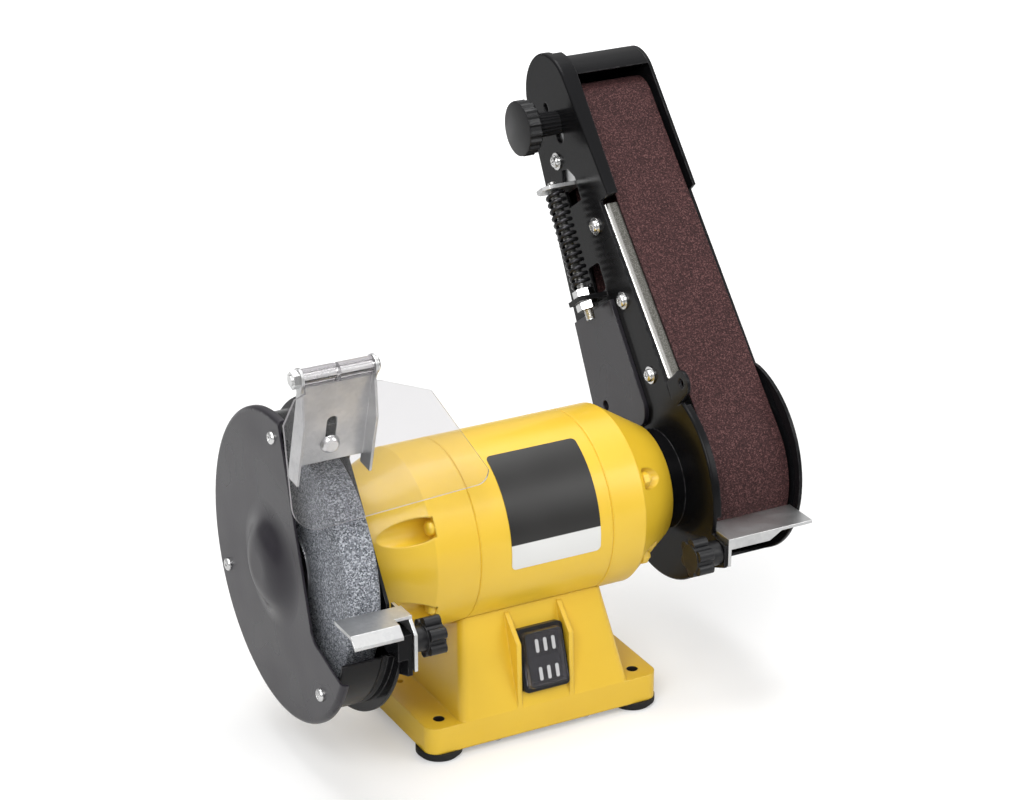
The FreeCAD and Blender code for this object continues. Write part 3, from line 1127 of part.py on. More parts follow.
def belt_frame():
    body = new_body("frame", ARM)
    prism(body, "YZ", [arm_outline("0")], PLATE, INSIDE)
    round_edges(body, PLATE, "edge_round")
    rim = "(%s + front_rim)" % PLATE
    prism(body, "YZ", [arm_outline("0"), arm_outline("frame_sheet")], INSIDE, rim)
    far = "6 * frame_radius"
    over = rim + " + 1"
    shallow = PLATE + " + rim_depth"
    prism(body, "YZ", [rectangle("-rim_turn", "-" + far, far, far)], shallow, over, cut=True)
    prism(body, "YZ", [rectangle("-" + far, "-" + far, "-rim_turn", "rim_foot - 2")], shallow, over, cut=True)
    taper = [(PLATE + " + rim_low", "rim_foot - 3"), (over, "rim_foot - 3"),
             (over, "mouth_rise"), (rim, "mouth_rise")]
    prism(body, "XZ", [taper], "-" + far, "-rim_turn", cut=True)
    prism(body, "YZ", [rectangle("-" + far, "frame_radius * sin(disc_open) - 2", "-10", "rim_foot")],
          INSIDE, over, cut=True)
    prism(body, "YZ", [rectangle("-" + far, "-" + far, "10", "-frame_radius * 0.58")], INSIDE, over, cut=True)
    ear_root = "0.5 - notch_front"
    ear = [(ear_root, "ear_z - 11.5"), (ear_root, "ear_z + 5.5"), ("ear_y - 1", "ear_z + ear_radius * 0.99"),
           ("ear_y - 2", "ear_z - ear_radius * 0.97")]
    prism(body, "YZ", [ear], PLATE, INSIDE)
    prism(body, "YZ", [("ear_y", "ear_z", "ear_radius")], PLATE, INSIDE)
    prism(body, "YZ", [("0", "0", "neck_radius + collar_wall")], RIGHT_END + " + 1", PLATE)
    tab = rectangle(TENSION_X + " - tab_half", "tension_y - tab_half", PLATE, "tension_y + tab_half")
    prism(body, "XY", [tab], "tension_foot - 8", "tension_foot - 5")
    prism(body, "XY", [(TENSION_X, "tension_y", "rod_radius + screw_gap")], "tension_foot - 9", "tension_foot - 4",
          cut=True)
    gate = [
        ("tension_y - tab_half - 1", TAB_LOW + " - tension_travel - 1.5"),
        ("tension_y + tab_half + 1", TAB_LOW + " - tension_travel - 1.5"),
        ("tension_y + tab_half + 1", TAB_LOW + " + carrier_sheet + 2"),
        ("tension_y + 5", TAB_LOW + " + carrier_sheet + 11"),
        ("tension_y - 3", TAB_LOW + " + carrier_sheet + 9"),
        ("tension_y - tab_half - 1", TAB_LOW + " + carrier_sheet + 2"),
    ]
    holes = [
        ("0", "0", "neck_radius + screw_gap"),
        slot("0", "centre_distance - tracking_drop - tension_travel", "0", "tension_travel",
             "tracking_screw + 0.5"),
        slot("nose_back + 4", "nose_rise - 9", "0", "5", "2.5"),
        gate,
        rounded("tab_half", "9", "3", "tension_y", "tension_foot + 5"),
        ("vent_y", "vent_z", "vent_bore"),
        ("ear_y", "ear_z", "stud_radius + screw_gap"),
        ("guide_y", "guide_z", "guard_screw + screw_gap"),
    ]
    holes += [run_spot("drive_radius - platen_screw_in", along) + ("guard_screw + screw_gap",)
              for along in PLATEN_TURNS]
    for hole in holes:
        prism(body, "YZ", [hole], RIGHT_END, INSIDE, cut=True)
    lug = new_body("rest_lug", SHAFT)
    prism(lug, "YZ", [
        [("belt_stud_y - 8", "-belt_stud_drop - 7"), ("-frame_radius * 0.5", "-frame_radius * 0.72"),
         ("-frame_radius * 0.7", "-belt_stud_drop + 12"), ("belt_stud_y - 8", "-belt_stud_drop + 7")],
        ("belt_stud_y", "-belt_stud_drop", "stud_radius + screw_gap"),
    ], PLATE, INSIDE)
    bore = cylinder("clamp_bore", "clamp_screw + screw_gap", "neck_radius + collar_wall + 2", CLAMP)
    keep("belt_frame", less("frame", joined("frame", body, lug), bore))

    low_back = back_at("frame_radius", "nose_radius", "stiffener_inset", "stiffener_low")
    high_back = back_at("frame_radius", "nose_radius", "stiffener_inset", "stiffener_high")
    raised = new_body("stiffener", ARM)
    prism(raised, "YZ", [
        [("stiffener_front + 11", "stiffener_low"), (low_back, "stiffener_low"), (high_back, "stiffener_high"),
         ("stiffener_front + 4", "stiffener_high"), ("stiffener_front", "stiffener_low + 11", "11")],
        ("vent_y", "vent_z", "vent_bore"),
    ], PLATE + " - stiffener_rise", PLATE)
    keep("frame_stiffener", raised)


CLAMP = ARM + " * " + placed("0", "0", "0", "1; 0; 0", "clamp_turn") + " * " + placed(
    "%s + arm_gap / 2 + 0.5" % RIGHT_END, "neck_radius + collar_wall", "0", "1; 0; 0", "90")
BOSSES = (
    (back_at("hood_low", "hood_nose", "boss_inset", "boss_top"), "boss_top"),
    (back_at("hood_low", "hood_nose", "boss_inset", "boss_mid"), "boss_mid"),
    ("0.5 * (hood_low - boss_inset)", "-0.866 * (hood_low - boss_inset)"),
)


def hood_outline(inset):
    """The hood's outside, or its inside."""
    low = "(hood_low - %s)" % inset
    high = "(hood_nose - %s)" % inset
    return arm_back(low, high) + [
        ("nose_back", "nose_rise + " + high, high), ("nose_back - " + high, "nose_rise"), ("-" + low, "0", low)]


def belt_hood():
    body = new_body("hood", ARM)
    prism(body, "YZ", [hood_outline("0"), hood_outline("frame_sheet")], INSIDE, SIDE)
    far = "6 * hood_low"
    prism(body, "YZ", [rectangle("-" + far, "-" + far, "hood_front", "mouth_rise")], INSIDE, SIDE, cut=True)
    prism(body, "YZ", [(y, z, "boss_radius") for y, z in BOSSES], SIDE + " - boss_length", SIDE)
    prism(body, "YZ", [(y, z, "small_screw + screw_gap") for y, z in BOSSES],
          SIDE + " - boss_length", SIDE, cut=True)
    keep("belt_hood", body)


def arm_fittings():
    keep("arm_clamp_screw", screw("clamp_screw", "clamp_screw", "collar_wall - slide_gap", "5", "5", CLAMP))
    cover = new_body("side_cover", ARM)
    foot = ("(-plate_front - 5)", "(rim_foot - 2)")
    prism(cover, "YZ", [
        [("-0.5 * hood_low", "-0.866 * hood_low", "hood_low")] + arm_back("hood_low", "hood_nose") + [
            nose_touch(foot[0], foot[1], "hood_nose"), foot,
            ("2 - plate_front", "rim_foot - 3"), ("1 - plate_front_low", "cover_step"),
            ("-plate_front_low - 2.5", "cover_step - 2.5", "cover_front")],
    ] + [(y, z, "small_screw + screw_gap") for y, z in BOSSES], SIDE, SIDE + " + frame_sheet")
    keep("side_cover", cover)
    keep("side_cover_screws", group("side_cover_screws", [
        screw("side_screw", "small_screw", "frame_sheet + 10", "3.4", "2.2", ARM + " * " + placed(
            SIDE + " + frame_sheet", y, z, QUARTER, "-90")) for y, z in BOSSES]))

    bar = new_body("platen", RUN)
    face = "-drive_radius"
    prism(bar, "XY", [[
        (INSIDE, face + " + platen_flange"), (INSIDE, face + " + platen_roll", "platen_roll"),
        (INSIDE + " + platen_roll", face), (BELT_RIGHT + " - 2", face),
        (BELT_RIGHT + " - 2", face + " + platen_sheet"), (INSIDE + " + platen_sheet", face + " + platen_sheet"),
        (INSIDE + " + platen_sheet", face + " + platen_flange"),
    ]], "platen_low", "platen_high")
    prism(bar, "YZ", [(face + " + platen_screw_in", along, "guard_screw + screw_gap") for along in PLATEN_TURNS],
          INSIDE, INSIDE + " + platen_sheet", cut=True)
    keep("platen", bar)
    keep("platen_screws", group("platen_screws", [
        screw("platen_screw", "guard_screw", "frame_sheet + platen_sheet + 1", "guard_head", "2.6",
              RUN + " * " + placed(PLATE, face + " + platen_screw_in", along, QUARTER, "90"), washer=True)
        for along in PLATEN_TURNS]))


def belt_drive():
    pulley = new_body("drive_wheel", SHAFT)
    rim = "drive_radius - 6"
    turned(pulley, [
        (HUB_START, SPINDLE_BORE), (DRIVE_NUT, SPINDLE_BORE), (DRIVE_NUT, "spindle_radius + 7"),
        (BELT_LEFT + " + belt_width / 2", "spindle_radius + 7"), (BELT_LEFT + " + belt_width / 2", rim),
        (BELT_RIGHT, rim), (BELT_RIGHT, "drive_radius - 0.5"), (BELT_RIGHT + " - belt_width / 4", "drive_radius"),
        (BELT_LEFT + " + belt_width / 4", "drive_radius"), (BELT_LEFT, "drive_radius - 0.5"), (BELT_LEFT, rim),
        (BELT_LEFT + " + belt_width / 3", rim), (BELT_LEFT + " + belt_width / 3", "spindle_radius + 7"),
        (HUB_START, "spindle_radius + 7"),
    ])
    keep("drive_wheel", pulley)
    nut = new_body("drive_nut", SHAFT)
    hex_nut(nut, "nut_half", DRIVE_NUT, DRIVE_NUT + " + nut_width", SPINDLE_BORE)
    keep("drive_nut", nut)

    def loop(extra):
        low = "(drive_radius + belt_gap + %s)" % extra
        high = "(idler_radius + belt_gap + %s)" % extra
        return [
            ("-%s * %s" % (low, RUN_COS), "%s * %s" % (low, RUN_SIN), low), ("0", "-" + low, low),
            ("%s * %s" % (low, RUN_COS), "%s * %s" % (low, RUN_SIN)),
            ("%s * %s" % (high, RUN_COS), "centre_distance + %s * %s" % (high, RUN_SIN), high),
            ("0", "centre_distance + " + high, high),
            ("-%s * %s" % (high, RUN_COS), "centre_distance + %s * %s" % (high, RUN_SIN)),
        ]
    belt = new_body("belt", ARM)
    prism(belt, "YZ", [loop("belt_thickness"), loop("0")], BELT_LEFT, BELT_RIGHT)
    keep("sanding_belt", belt)

    roller = new_body("idler", IDLER)
    bore = "idler_axle + run_gap + bush_wall"
    start = BELT_LEFT + " + 1"
    end = BELT_RIGHT + " - 1"
    turned(roller, [(start, bore + " + fit_gap"), (end, bore + " + fit_gap"), (end, "idler_radius - 0.4"),
                    (end + " - 12", "idler_radius"), (start + " + 12", "idler_radius"),
                    (start, "idler_radius - 0.4")])
    keep("idler_wheel", roller)
    bushes = []
    for near, far in ((start, start + " + bush_length"), (end + " - bush_length", end)):
        bush = new_body("bush", IDLER)
        prism(bush, "YZ", [("0", "0", bore), ("0", "0", "idler_axle + run_gap")], near, far)
        bushes.append(bush)
    keep("idler_bushes", group("idler_bushes", bushes))
    axle = new_body("axle", IDLER)
    turned(axle, [
        (CARRIER_RIGHT, "0"), (end + " + 3", "0"), (end + " + 3", "idler_axle + 2"),
        (end + " + slide_gap", "idler_axle + 2"), (end + " + slide_gap", "idler_axle"),
        (start + " - slide_gap", "idler_axle"), (start + " - slide_gap", "idler_axle + 3"),
        (CARRIER_RIGHT, "idler_axle + 3"),
    ])
    keep("idler_axle", axle)


def tension():
    plate = new_body("carrier", ARM)
    back = "(guide_y + guard_screw + 4)"
    outline = [
        ("-carrier_half", TAB_LOW), (back, TAB_LOW), (back, "guide_z + 12"),
        ("carrier_half", "centre_distance", "carrier_half"),
        ("0", "centre_distance + carrier_half", "carrier_half"), ("-carrier_half", "centre_distance"),
    ]
    prism(plate, "YZ", [
        outline, ("0", "centre_distance - tracking_drop", "tracking_screw + screw_gap"),
        slot("guide_y", "guide_z", "0", "tension_travel", "guard_screw + slide_gap"),
    ], CARRIER_LEFT, CARRIER_RIGHT)
    tip = "(%s - tab_half - 2)" % TENSION_X
    prism(plate, "XY", [
        [(tip + " + 4", "tension_y - tab_half"), (CARRIER_RIGHT, "tension_y - tab_half"),
         (CARRIER_RIGHT, "tension_y + tab_half"), (tip + " + 4", "tension_y + tab_half"),
         (tip, "tension_y + tab_half - 4"), (tip, "tension_y - tab_half + 4")],
        (TENSION_X, "tension_y", "rod_radius + slide_gap"),
    ], TAB_LOW, TAB_LOW + " + carrier_sheet")
    keep("idler_carrier", plate)
    keep("guide_screw", screw("guide_screw", "guard_screw", "frame_sheet + slide_gap + carrier_sheet + 2",
                              "guard_head", "2.6", ARM + " * " + placed(PLATE, "guide_y", "guide_z", QUARTER, "90"),
                              washer=True))

    knob = new_body("tracking", TRACKING)
    face = "(%s - tracking_out)" % PLATE
    back = "(%s + tracking_width)" % face
    prism(knob, "YZ", [("0", "0", "tracking_radius")], face, back)
    flute = prism(knob, "YZ", [("0", "tracking_radius + 0.7", "1.7")], face + " + 2", back + " + 1", cut=True)
    polar(knob, flute, "X", 24)
    turned(knob, [(back, "0"), (PLATE + " - slide_gap", "0"), (PLATE + " - slide_gap", "tracking_stem"),
                  (back + " + 3", "tracking_stem"), (back, "tracking_stem + 5")])
    prism(knob, "YZ", [("0", "0", "tracking_screw")], PLATE + " - slide_gap", CARRIER_RIGHT + " - slide_gap")
    keep("tracking_knob", knob)

    rod = new_body("rod", ARM)
    prism(rod, "XY", [(TENSION_X, "tension_y", "rod_radius")],
          "tension_foot - 19.5", TAB_LOW + " + carrier_sheet + 3")
    keep("tension_rod", rod)
    nuts = []
    for near, far in (("tension_foot - 5", "tension_foot"), ("tension_foot - 13", "tension_foot - 8")):
        nut = new_body("tension_nut", ARM + " * " + placed(TENSION_X, "tension_y", "0", "0; 1; 0", "-90"))
        hex_nut(nut, "rod_radius + 3", near, far, "rod_radius + screw_gap")
        nuts.append(nut)
    keep("tension_nuts", group("tension_nuts", nuts))


def biarc(start, start_way, end, end_way):
    """Two arcs that join two points and leave them in given directions."""
    gap = end - start
    a = 2 * (start_way.dot(end_way) - 1)
    b = -2 * gap.dot(start_way + end_way)
    reach = (-b - math.sqrt(b * b - 4 * a * gap.dot(gap))) / (2 * a)
    first = start + start_way * reach
    second = end - end_way * reach
    middle = (first + second) * 0.5
    arcs = []
    for near, bend, far in ((start, first, middle), (middle, second, end)):
        weight = (far - near).Length / (2 * reach)
        crown = (near + far + bend * (2 * weight)) * (1 / (2 + 2 * weight))
        arcs.append(Part.Arc(near, crown, far).toShape())
    return arcs


def tension_spring():
    wire = size("spring_wire")
    coil = size("spring_radius")
    turns = int(round(size("spring_turns")))
    rise = size("spring_length - 2 * spring_wire - 2 * slide_gap") / turns
    foot = size("tension_foot + spring_wire + slide_gap")
    slope = V(0, 2 * math.pi * coil, rise).normalize()

    def spot(turn):
        angle = 2 * math.pi * turn
        return V(coil * math.cos(angle), coil * math.sin(angle), foot + rise * turn)

    def way(turn):
        angle = 2 * math.pi * turn
        return V(-math.sin(angle) * slope.y, math.cos(angle) * slope.y, slope.z)
    edges = [Part.LineSegment(spot(0) - V(0, 2 * wire, 0), spot(0)).toShape()]
    edges += biarc(spot(0), V(0, 1, 0), spot(0.5), way(0.5))
    for half in range(1, 2 * turns - 1):
        edges += biarc(spot(half / 2), way(half / 2), spot(half / 2 + 0.5), way(half / 2 + 0.5))
    edges += biarc(spot(turns - 0.5), way(turns - 0.5), spot(turns), V(0, 1, 0))
    edges.append(Part.LineSegment(spot(turns), spot(turns) + V(0, 2 * wire, 0)).toShape())
    path = Part.Wire(edges)
    ring = Part.Wire(Part.Circle(spot(0) - V(0, 2 * wire, 0), V(0, 1, 0), wire).toShape())
    tube = Part.BRepOffsetAPI.MakePipeShell(path)
    tube.add(ring)
    tube.build()
    tube.makeSolid()
    points = path.discretize(Number=40 * turns)
    near = 40 // 2
    gap = min((points[i] - points[j]).Length for i in range(len(points)) for j in range(i + near, len(points)))
    print("least gap between the spring's turns: %.2f mm" % (gap - 2 * wire))
    made = doc.addObject("Part::Feature", "spring")
    made.Shape = tube.shape()
    bind(made, "Placement", ARM + " * " + placed(TENSION_X, "tension_y", "0"))
    keep("tension_spring", made)


# Belt rest on the lug of the arm's frame.
def belt_rest():
    left = "(%s + slide_gap)" % INSIDE
    back = "(-drive_radius - belt_gap - belt_thickness - belt_rest_gap)"
    front = "(%s - belt_rest_depth)" % back
    table = new_body("belt_table", SHAFT)
    prism(table, "XY", [[
        (left, front), (BELT_RIGHT + " - 1", front), (BELT_RIGHT + " - 1", back), (left, back),
    ]], "-belt_rest_drop - rest_sheet", "-belt_rest_drop")
    prism(table, "XZ", [[
        (left, "-belt_rest_drop"), (left, "-belt_rest_drop - belt_rest_lip"),
        (BELT_RIGHT + " - 31", "-belt_rest_drop - belt_rest_lip"), (BELT_RIGHT + " - 19", "-belt_rest_drop"),
    ]], front, front + " + rest_sheet")
    side = [
        (front, "-belt_rest_drop - belt_rest_side"),
        ("belt_stud_y + belt_rest_travel + stud_radius + 4", "-belt_rest_drop - belt_rest_side"),
        (back, "-belt_rest_drop - 8"), (back, "-belt_rest_drop"), (front, "-belt_rest_drop"),
    ]
    hole = slot("belt_stud_y", "-belt_stud_drop", "belt_rest_travel", "0", "stud_radius + slide_gap")
    prism(table, "YZ", [side, hole], left, left + " + rest_sheet")
    keep("belt_rest", table)
    spot = placed(PLATE + " - slide_gap", "belt_stud_y", "shaft_height - belt_stud_drop", "0; 0; 1", "180")
    keep("belt_rest_knob", lobed_knob("belt_knob", spot, "frame_sheet + rest_sheet + 2 * slide_gap + 4"))


for make in (base_casting, base_fittings, switch, motor, wheel, guard, eye_shield, wheel_rest, belt_frame,
             belt_hood, arm_fittings, belt_drive, tension, tension_spring, belt_rest):
    make()
doc.recompute()

for thing in doc.Objects:
    if "Invalid" in thing.State or "Error" in thing.State:
        raise RuntimeError("%s failed: %s" % (thing.Name, thing.getStatusString()))
for name, thing in NODES.items():
    if thing.Shape.isNull() or not thing.Shape.isValid() or not thing.Shape.Solids:
        raise RuntimeError("%s has no valid solid" % name)

os.makedirs("parts", exist_ok=True)
for name, thing in NODES.items():
    thing.Shape.exportStep("parts/%s.step" % name)
print("%d nodes written" % len(NODES))
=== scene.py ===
import json
import math

import bmesh
import bpy
from mathutils import Matrix, Vector

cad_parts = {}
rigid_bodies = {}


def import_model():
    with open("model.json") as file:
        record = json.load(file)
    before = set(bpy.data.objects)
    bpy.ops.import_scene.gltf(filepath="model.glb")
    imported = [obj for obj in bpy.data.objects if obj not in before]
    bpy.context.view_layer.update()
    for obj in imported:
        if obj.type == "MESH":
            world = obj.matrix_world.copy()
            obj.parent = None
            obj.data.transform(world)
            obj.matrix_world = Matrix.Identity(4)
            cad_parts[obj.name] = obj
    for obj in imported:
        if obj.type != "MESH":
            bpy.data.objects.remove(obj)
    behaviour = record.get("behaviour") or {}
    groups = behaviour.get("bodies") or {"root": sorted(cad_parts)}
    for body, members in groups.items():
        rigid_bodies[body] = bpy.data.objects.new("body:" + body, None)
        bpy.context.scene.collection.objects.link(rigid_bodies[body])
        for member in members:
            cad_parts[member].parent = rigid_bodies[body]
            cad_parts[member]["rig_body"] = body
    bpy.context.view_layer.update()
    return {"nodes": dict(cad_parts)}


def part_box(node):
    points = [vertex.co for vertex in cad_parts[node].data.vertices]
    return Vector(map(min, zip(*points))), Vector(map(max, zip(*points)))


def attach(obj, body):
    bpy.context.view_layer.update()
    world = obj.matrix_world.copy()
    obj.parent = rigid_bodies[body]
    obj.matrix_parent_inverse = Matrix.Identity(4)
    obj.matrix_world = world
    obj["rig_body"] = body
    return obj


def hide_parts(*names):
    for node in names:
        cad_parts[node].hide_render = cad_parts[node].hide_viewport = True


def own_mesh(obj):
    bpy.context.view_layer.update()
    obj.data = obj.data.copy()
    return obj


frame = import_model()
node = frame["nodes"]


# Base casting, with the two end bells and the shell of the motor: aluminium castings, fettled and
# sprayed a warm yellow. The motor is bolted down into the base's saddle, and its bolts are painted over.
class Wire:
    """An output in a material: sums written on it add their own Math nodes."""

    def __init__(self, tree, socket=None):
        self.tree = tree
        self.socket = socket

    def node(self, kind, settings=None, plugs=None, out=0):
        """Adds a node, gives it its settings, then the values or links of its sockets."""
        made = self.tree.nodes.new("ShaderNode" + kind)
        for name, value in (settings or {}).items():
            setattr(made, name, value)
        for name, value in (plugs or {}).items():
            if isinstance(value, Wire):
                self.tree.links.new(value.socket, made.inputs[name])
            else:
                made.inputs[name].default_value = value
        return Wire(self.tree, made.outputs[out])

    def sum(self, operation, first, second):
        return self.node("Math", {"operation": operation}, {0: first, 1: second})

    def __add__(self, other):
        return self.sum("ADD", self, other)

    __radd__ = __add__

    def __sub__(self, other):
        return self.sum("SUBTRACT", self, other)

    def __rsub__(self, other):
        return self.sum("SUBTRACT", other, self)

    def __mul__(self, other):
        return self.sum("MULTIPLY", self, other)

    __rmul__ = __mul__

    def spread(self, low, high, start=0.0, end=1.0):
        """Stretches low to high over start to end, and holds it there."""
        plugs = {"Value": self, "From Min": low, "From Max": high, "To Min": start, "To Max": end}
        return self.node("MapRange", {"clamp": True}, plugs)

    def tint(self, low, high):
        """A colour between two, where this runs from 0 to 1."""
        low, high = [c if isinstance(c, Wire) else (*c, 1.0) for c in (low, high)]
        return self.node("Mix", {"data_type": "RGBA"}, {0: self, 6: low, 7: high}, 2)

    def noise(self, scale, detail=2.0):
        """Cloudy noise at this place, so many to the metre."""
        return self.node("TexNoise", {}, {"Vector": self, "Scale": scale, "Detail": detail})

    def grains(self, scale, out="Color"):
        """Cells at this place, so many to the metre."""
        return self.node("TexVoronoi", {}, {"Vector": self, "Scale": scale}, out)


def start_finish(name, constants):
    """A new material with its fixed values, and the place on the piece to draw it from."""
    material = bpy.data.materials.new(name)
    material.use_nodes = True
    shader = material.node_tree.nodes["Principled BSDF"]
    for socket, value in constants.items():
        shader.inputs[socket].default_value = value
    return material, Wire(material.node_tree).node("TexCoord", out="Object")


def end_finish(material, varying):
    """Links what changes over the surface to the material's shader."""
    shader = material.node_tree.nodes["Principled BSDF"]
    for socket, wire in varying.items():
        material.node_tree.links.new(wire.socket, shader.inputs[socket])


def eased(place, radius):
    """The surface's direction, turned over its edges as if they were rounded."""
    return place.node("Bevel", {"samples": 6}, {"Radius": radius})


def edges(place, radius):
    """1 on the edges, which the finishes lighten as wear and as a painted highlight, and 0 on the faces."""
    face = place.node("NewGeometry", out="Normal")
    turn = place.node("VectorMath", {"operation": "DOT_PRODUCT"}, {0: eased(place, radius), 1: face}, "Value")
    return (1.0 - turn).spread(0.02, 0.22)


def bumped(place, height, depth, normal=None):
    """The surface's direction with this height on it, in metres at 1."""
    plugs = {"Height": height, "Strength": 1.0, "Distance": depth}
    if normal:
        plugs["Normal"] = normal
    return place.node("Bump", {}, plugs)


def dress(material, *names):
    """Gives CAD nodes their material."""
    for name in names:
        node[name].data.materials.clear()
        node[name].data.materials.append(material)


PAINT_SHEET = (0.78, 0.510, 0.030)
PAINT_THIN = (0.735, 0.465, 0.025)
PAINT_RUBBED_LIT = (0.86, 0.64, 0.14)
yellow_paint, spot = start_finish("yellow_paint", {"Coat Weight": 0.35, "Coat Roughness": 0.16})
clouds = spot.noise(14.0, 4.0)
peel = spot.noise(620.0, 3.0) + 0.35 * spot.noise(190.0)
coat = clouds.spread(0.35, 0.68).tint(PAINT_SHEET, PAINT_THIN)
# The bench bolt bores, below the flange top, are painted near black: painted shade inside the holes.
BORE_PAINTED_SHADE = (0.020, 0.017, 0.014)
BENCH_BOLTS = (0.066, 0.042, 0.0)
BENCH_BORE = 0.0035
FLANGE_TOP = 0.0225
quarter = spot.node("VectorMath", {"operation": "ABSOLUTE"}, {0: spot}, "Vector")
level = quarter.node("VectorMath", {"operation": "MULTIPLY"}, {0: quarter, 1: (1.0, 1.0, 0.0)}, "Vector")
away = level.node("VectorMath", {"operation": "DISTANCE"}, {0: level, 1: BENCH_BOLTS}, "Value")
height = spot.node("SeparateXYZ", {}, {"Vector": spot}, "Z")
bore_painted_shade = away.spread(BENCH_BORE + 0.0001, BENCH_BORE + 0.0003, 1.0, 0.0)
bore_painted_shade = bore_painted_shade * height.spread(FLANGE_TOP - 0.0003, FLANGE_TOP - 0.0001, 1.0, 0.0)
# The edges are painted a lighter yellow, as wear and as a painted highlight.
rubbed_and_lit = edges(spot, 0.0012) * spot.noise(260.0).spread(0.42, 0.62) * 0.55
end_finish(yellow_paint, {
    "Base Color": bore_painted_shade.tint(rubbed_and_lit.tint(coat, PAINT_RUBBED_LIT), BORE_PAINTED_SHADE),
    "Roughness": spot.noise(36.0, 4.0).spread(0.3, 0.7, 0.34, 0.46),
    "Normal": bumped(spot, peel, 0.00003, eased(spot, 0.0014)),
})
dress(yellow_paint, "base_casting", "motor_shell", "left_end_bell", "right_end_bell", "housing_bolts")


# Base plate and feet: a zinc-plated sheet closes the base from below, and four moulded rubber feet
# stand in its corners round the bench bolts.
ZINC_PALE = (0.66, 0.66, 0.655)
ZINC_DULL = (0.50, 0.505, 0.51)
ZINC_RUBBED_LIT = (0.84, 0.84, 0.83)


def zinc_finish(name, pale, dull, rough, grain):
    """Plated steel: a soft spangle, a fine grain, and edges lightened as wear and as a painted highlight."""
    material, spot = start_finish(name, {"Metallic": 1.0})
    shade = spot.node("SeparateColor", {}, {"Color": spot.grains(grain)})
    clouds = spot.noise(45.0, 5.0)
    mix = shade * 0.12 + clouds * 0.88
    worn_and_lit = edges(spot, 0.0006)
    end_finish(material, {
        "Base Color": (worn_and_lit * 0.7).tint(mix.spread(0.3, 0.7).tint(dull, pale), ZINC_RUBBED_LIT),
        "Roughness": mix.spread(0.25, 0.75, rough + 0.07, rough - 0.07) - worn_and_lit * 0.08,
        "Normal": bumped(spot, spot.noise(900.0, 2.0), 0.00001, eased(spot, 0.0005)),
    })
    return material


def plain_finish(name, shade, light, rough, texture, depth, metal=0.0, worn_and_lit=0.0, radius=0.0006, gloss=0.5):
    """A moulded, sprayed or turned surface: cloudy colour, uneven gloss, a fine texture, and edges lightened
    as wear and as a painted highlight.
    """
    material, spot = start_finish(name, {"Metallic": metal, "Specular IOR Level": gloss})
    clouds = spot.noise(40.0, 1.0)
    smears = spot.noise(60.0, 1.0)
    rubbed_and_lit = edges(spot, radius) * spot.noise(300.0).spread(0.35, 0.65)
    bright = tuple(min(1.0, 3.0 * part + 0.02) for part in light)
    end_finish(material, {
        "Base Color": (rubbed_and_lit * worn_and_lit).tint(clouds.spread(0.3, 0.7).tint(shade, light), bright),
        "Roughness": smears.spread(0.3, 0.7, rough - 0.06, rough + 0.08),
        "Normal": bumped(spot, spot.noise(texture, 1.0), depth, eased(spot, radius)),
    })
    return material


zinc = zinc_finish("zinc", ZINC_PALE, ZINC_DULL, rough=0.36, grain=420.0)
foot_rubber = plain_finish("foot_rubber", (0.012, 0.012, 0.012), (0.016, 0.016, 0.016),
                           rough=0.68, texture=700.0, depth=0.00006, worn_and_lit=0.2, gloss=0.25)
dress(zinc, "base_plate")
dress(foot_rubber, "rubber_feet")


# Switch: a black moulded bezel clipped into the sloping front of the base, a black rocker, and a soft
# clear boot over it with two rows of three finger ribs.
black_plastic = plain_finish("black_plastic", (0.008, 0.008, 0.009), (0.014, 0.014, 0.015),
                             rough=0.34, texture=1500.0, depth=0.00003, worn_and_lit=0.25, gloss=0.32)
SOFT_CLEAR = {"Base Color": (0.34, 0.33, 0.36, 1.0), "Transmission Weight": 0.92, "IOR": 1.43}
clear_boot, spot = start_finish("clear_boot", SOFT_CLEAR)
end_finish(clear_boot, {
    "Roughness": spot.noise(120.0, 4.0).spread(0.3, 0.7, 0.10, 0.22),
    "Normal": bumped(spot, spot.noise(420.0, 2.0), 0.00005, eased(spot, 0.0008)),
})
SWITCH_LEAN = math.radians(18.0)
SWITCH_FACE = Vector((0.0, -math.cos(SWITCH_LEAN), math.sin(SWITCH_LEAN)))
RIB_DEPTH = 0.0003
crown = max(vert.co.dot(SWITCH_FACE) for vert in node["switch_boot"].data.vertices)
tree = clear_boot.node_tree
# The boot's highest parts, the rib tops, are painted pale: a painted highlight on the ribs.
proud = spot.node("VectorMath", {"operation": "DOT_PRODUCT"}, {0: spot, 1: SWITCH_FACE}, "Value")
ribs = proud.spread(crown - RIB_DEPTH, crown - RIB_DEPTH / 2)
RIB_PAINTED_HIGHLIGHT = {"Base Color": (0.62, 0.62, 0.63, 1.0), "Roughness": 0.3}
frosted_and_painted_light = spot.node("BsdfPrincipled", {}, RIB_PAINTED_HIGHLIGHT)
clear = Wire(tree, tree.nodes["Principled BSDF"].outputs[0])
moulded = spot.node("MixShader", {}, {0: ribs * 0.8, 1: clear, 2: frosted_and_painted_light})
tree.links.new(moulded.socket, tree.nodes["Material Output"].inputs["Surface"])
dress(black_plastic, "switch_bezel", "switch_rocker", "cable_gland", "capacitor")
dress(clear_boot, "switch_boot")


# Nameplate: a blank, thin aluminium plate, dark with a pale lower band. It is rolled to
# the motor's curve and held by its adhesive back.
def piece(name, bm, material, body, smooth=40.0):
    """Makes an object of the mesh, in its material, on its CAD body."""
    bmesh.ops.recalc_face_normals(bm, faces=bm.faces)
    mesh = bpy.data.meshes.new(name)
    for face in bm.faces:
        face.smooth = True
    bm.to_mesh(mesh)
    bm.free()
    mesh.set_sharp_from_angle(angle=math.radians(smooth))
    mesh.materials.append(material)
    made = bpy.data.objects.new(name, mesh)
    bpy.context.scene.collection.objects.link(made)
    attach(made, body)
    return made


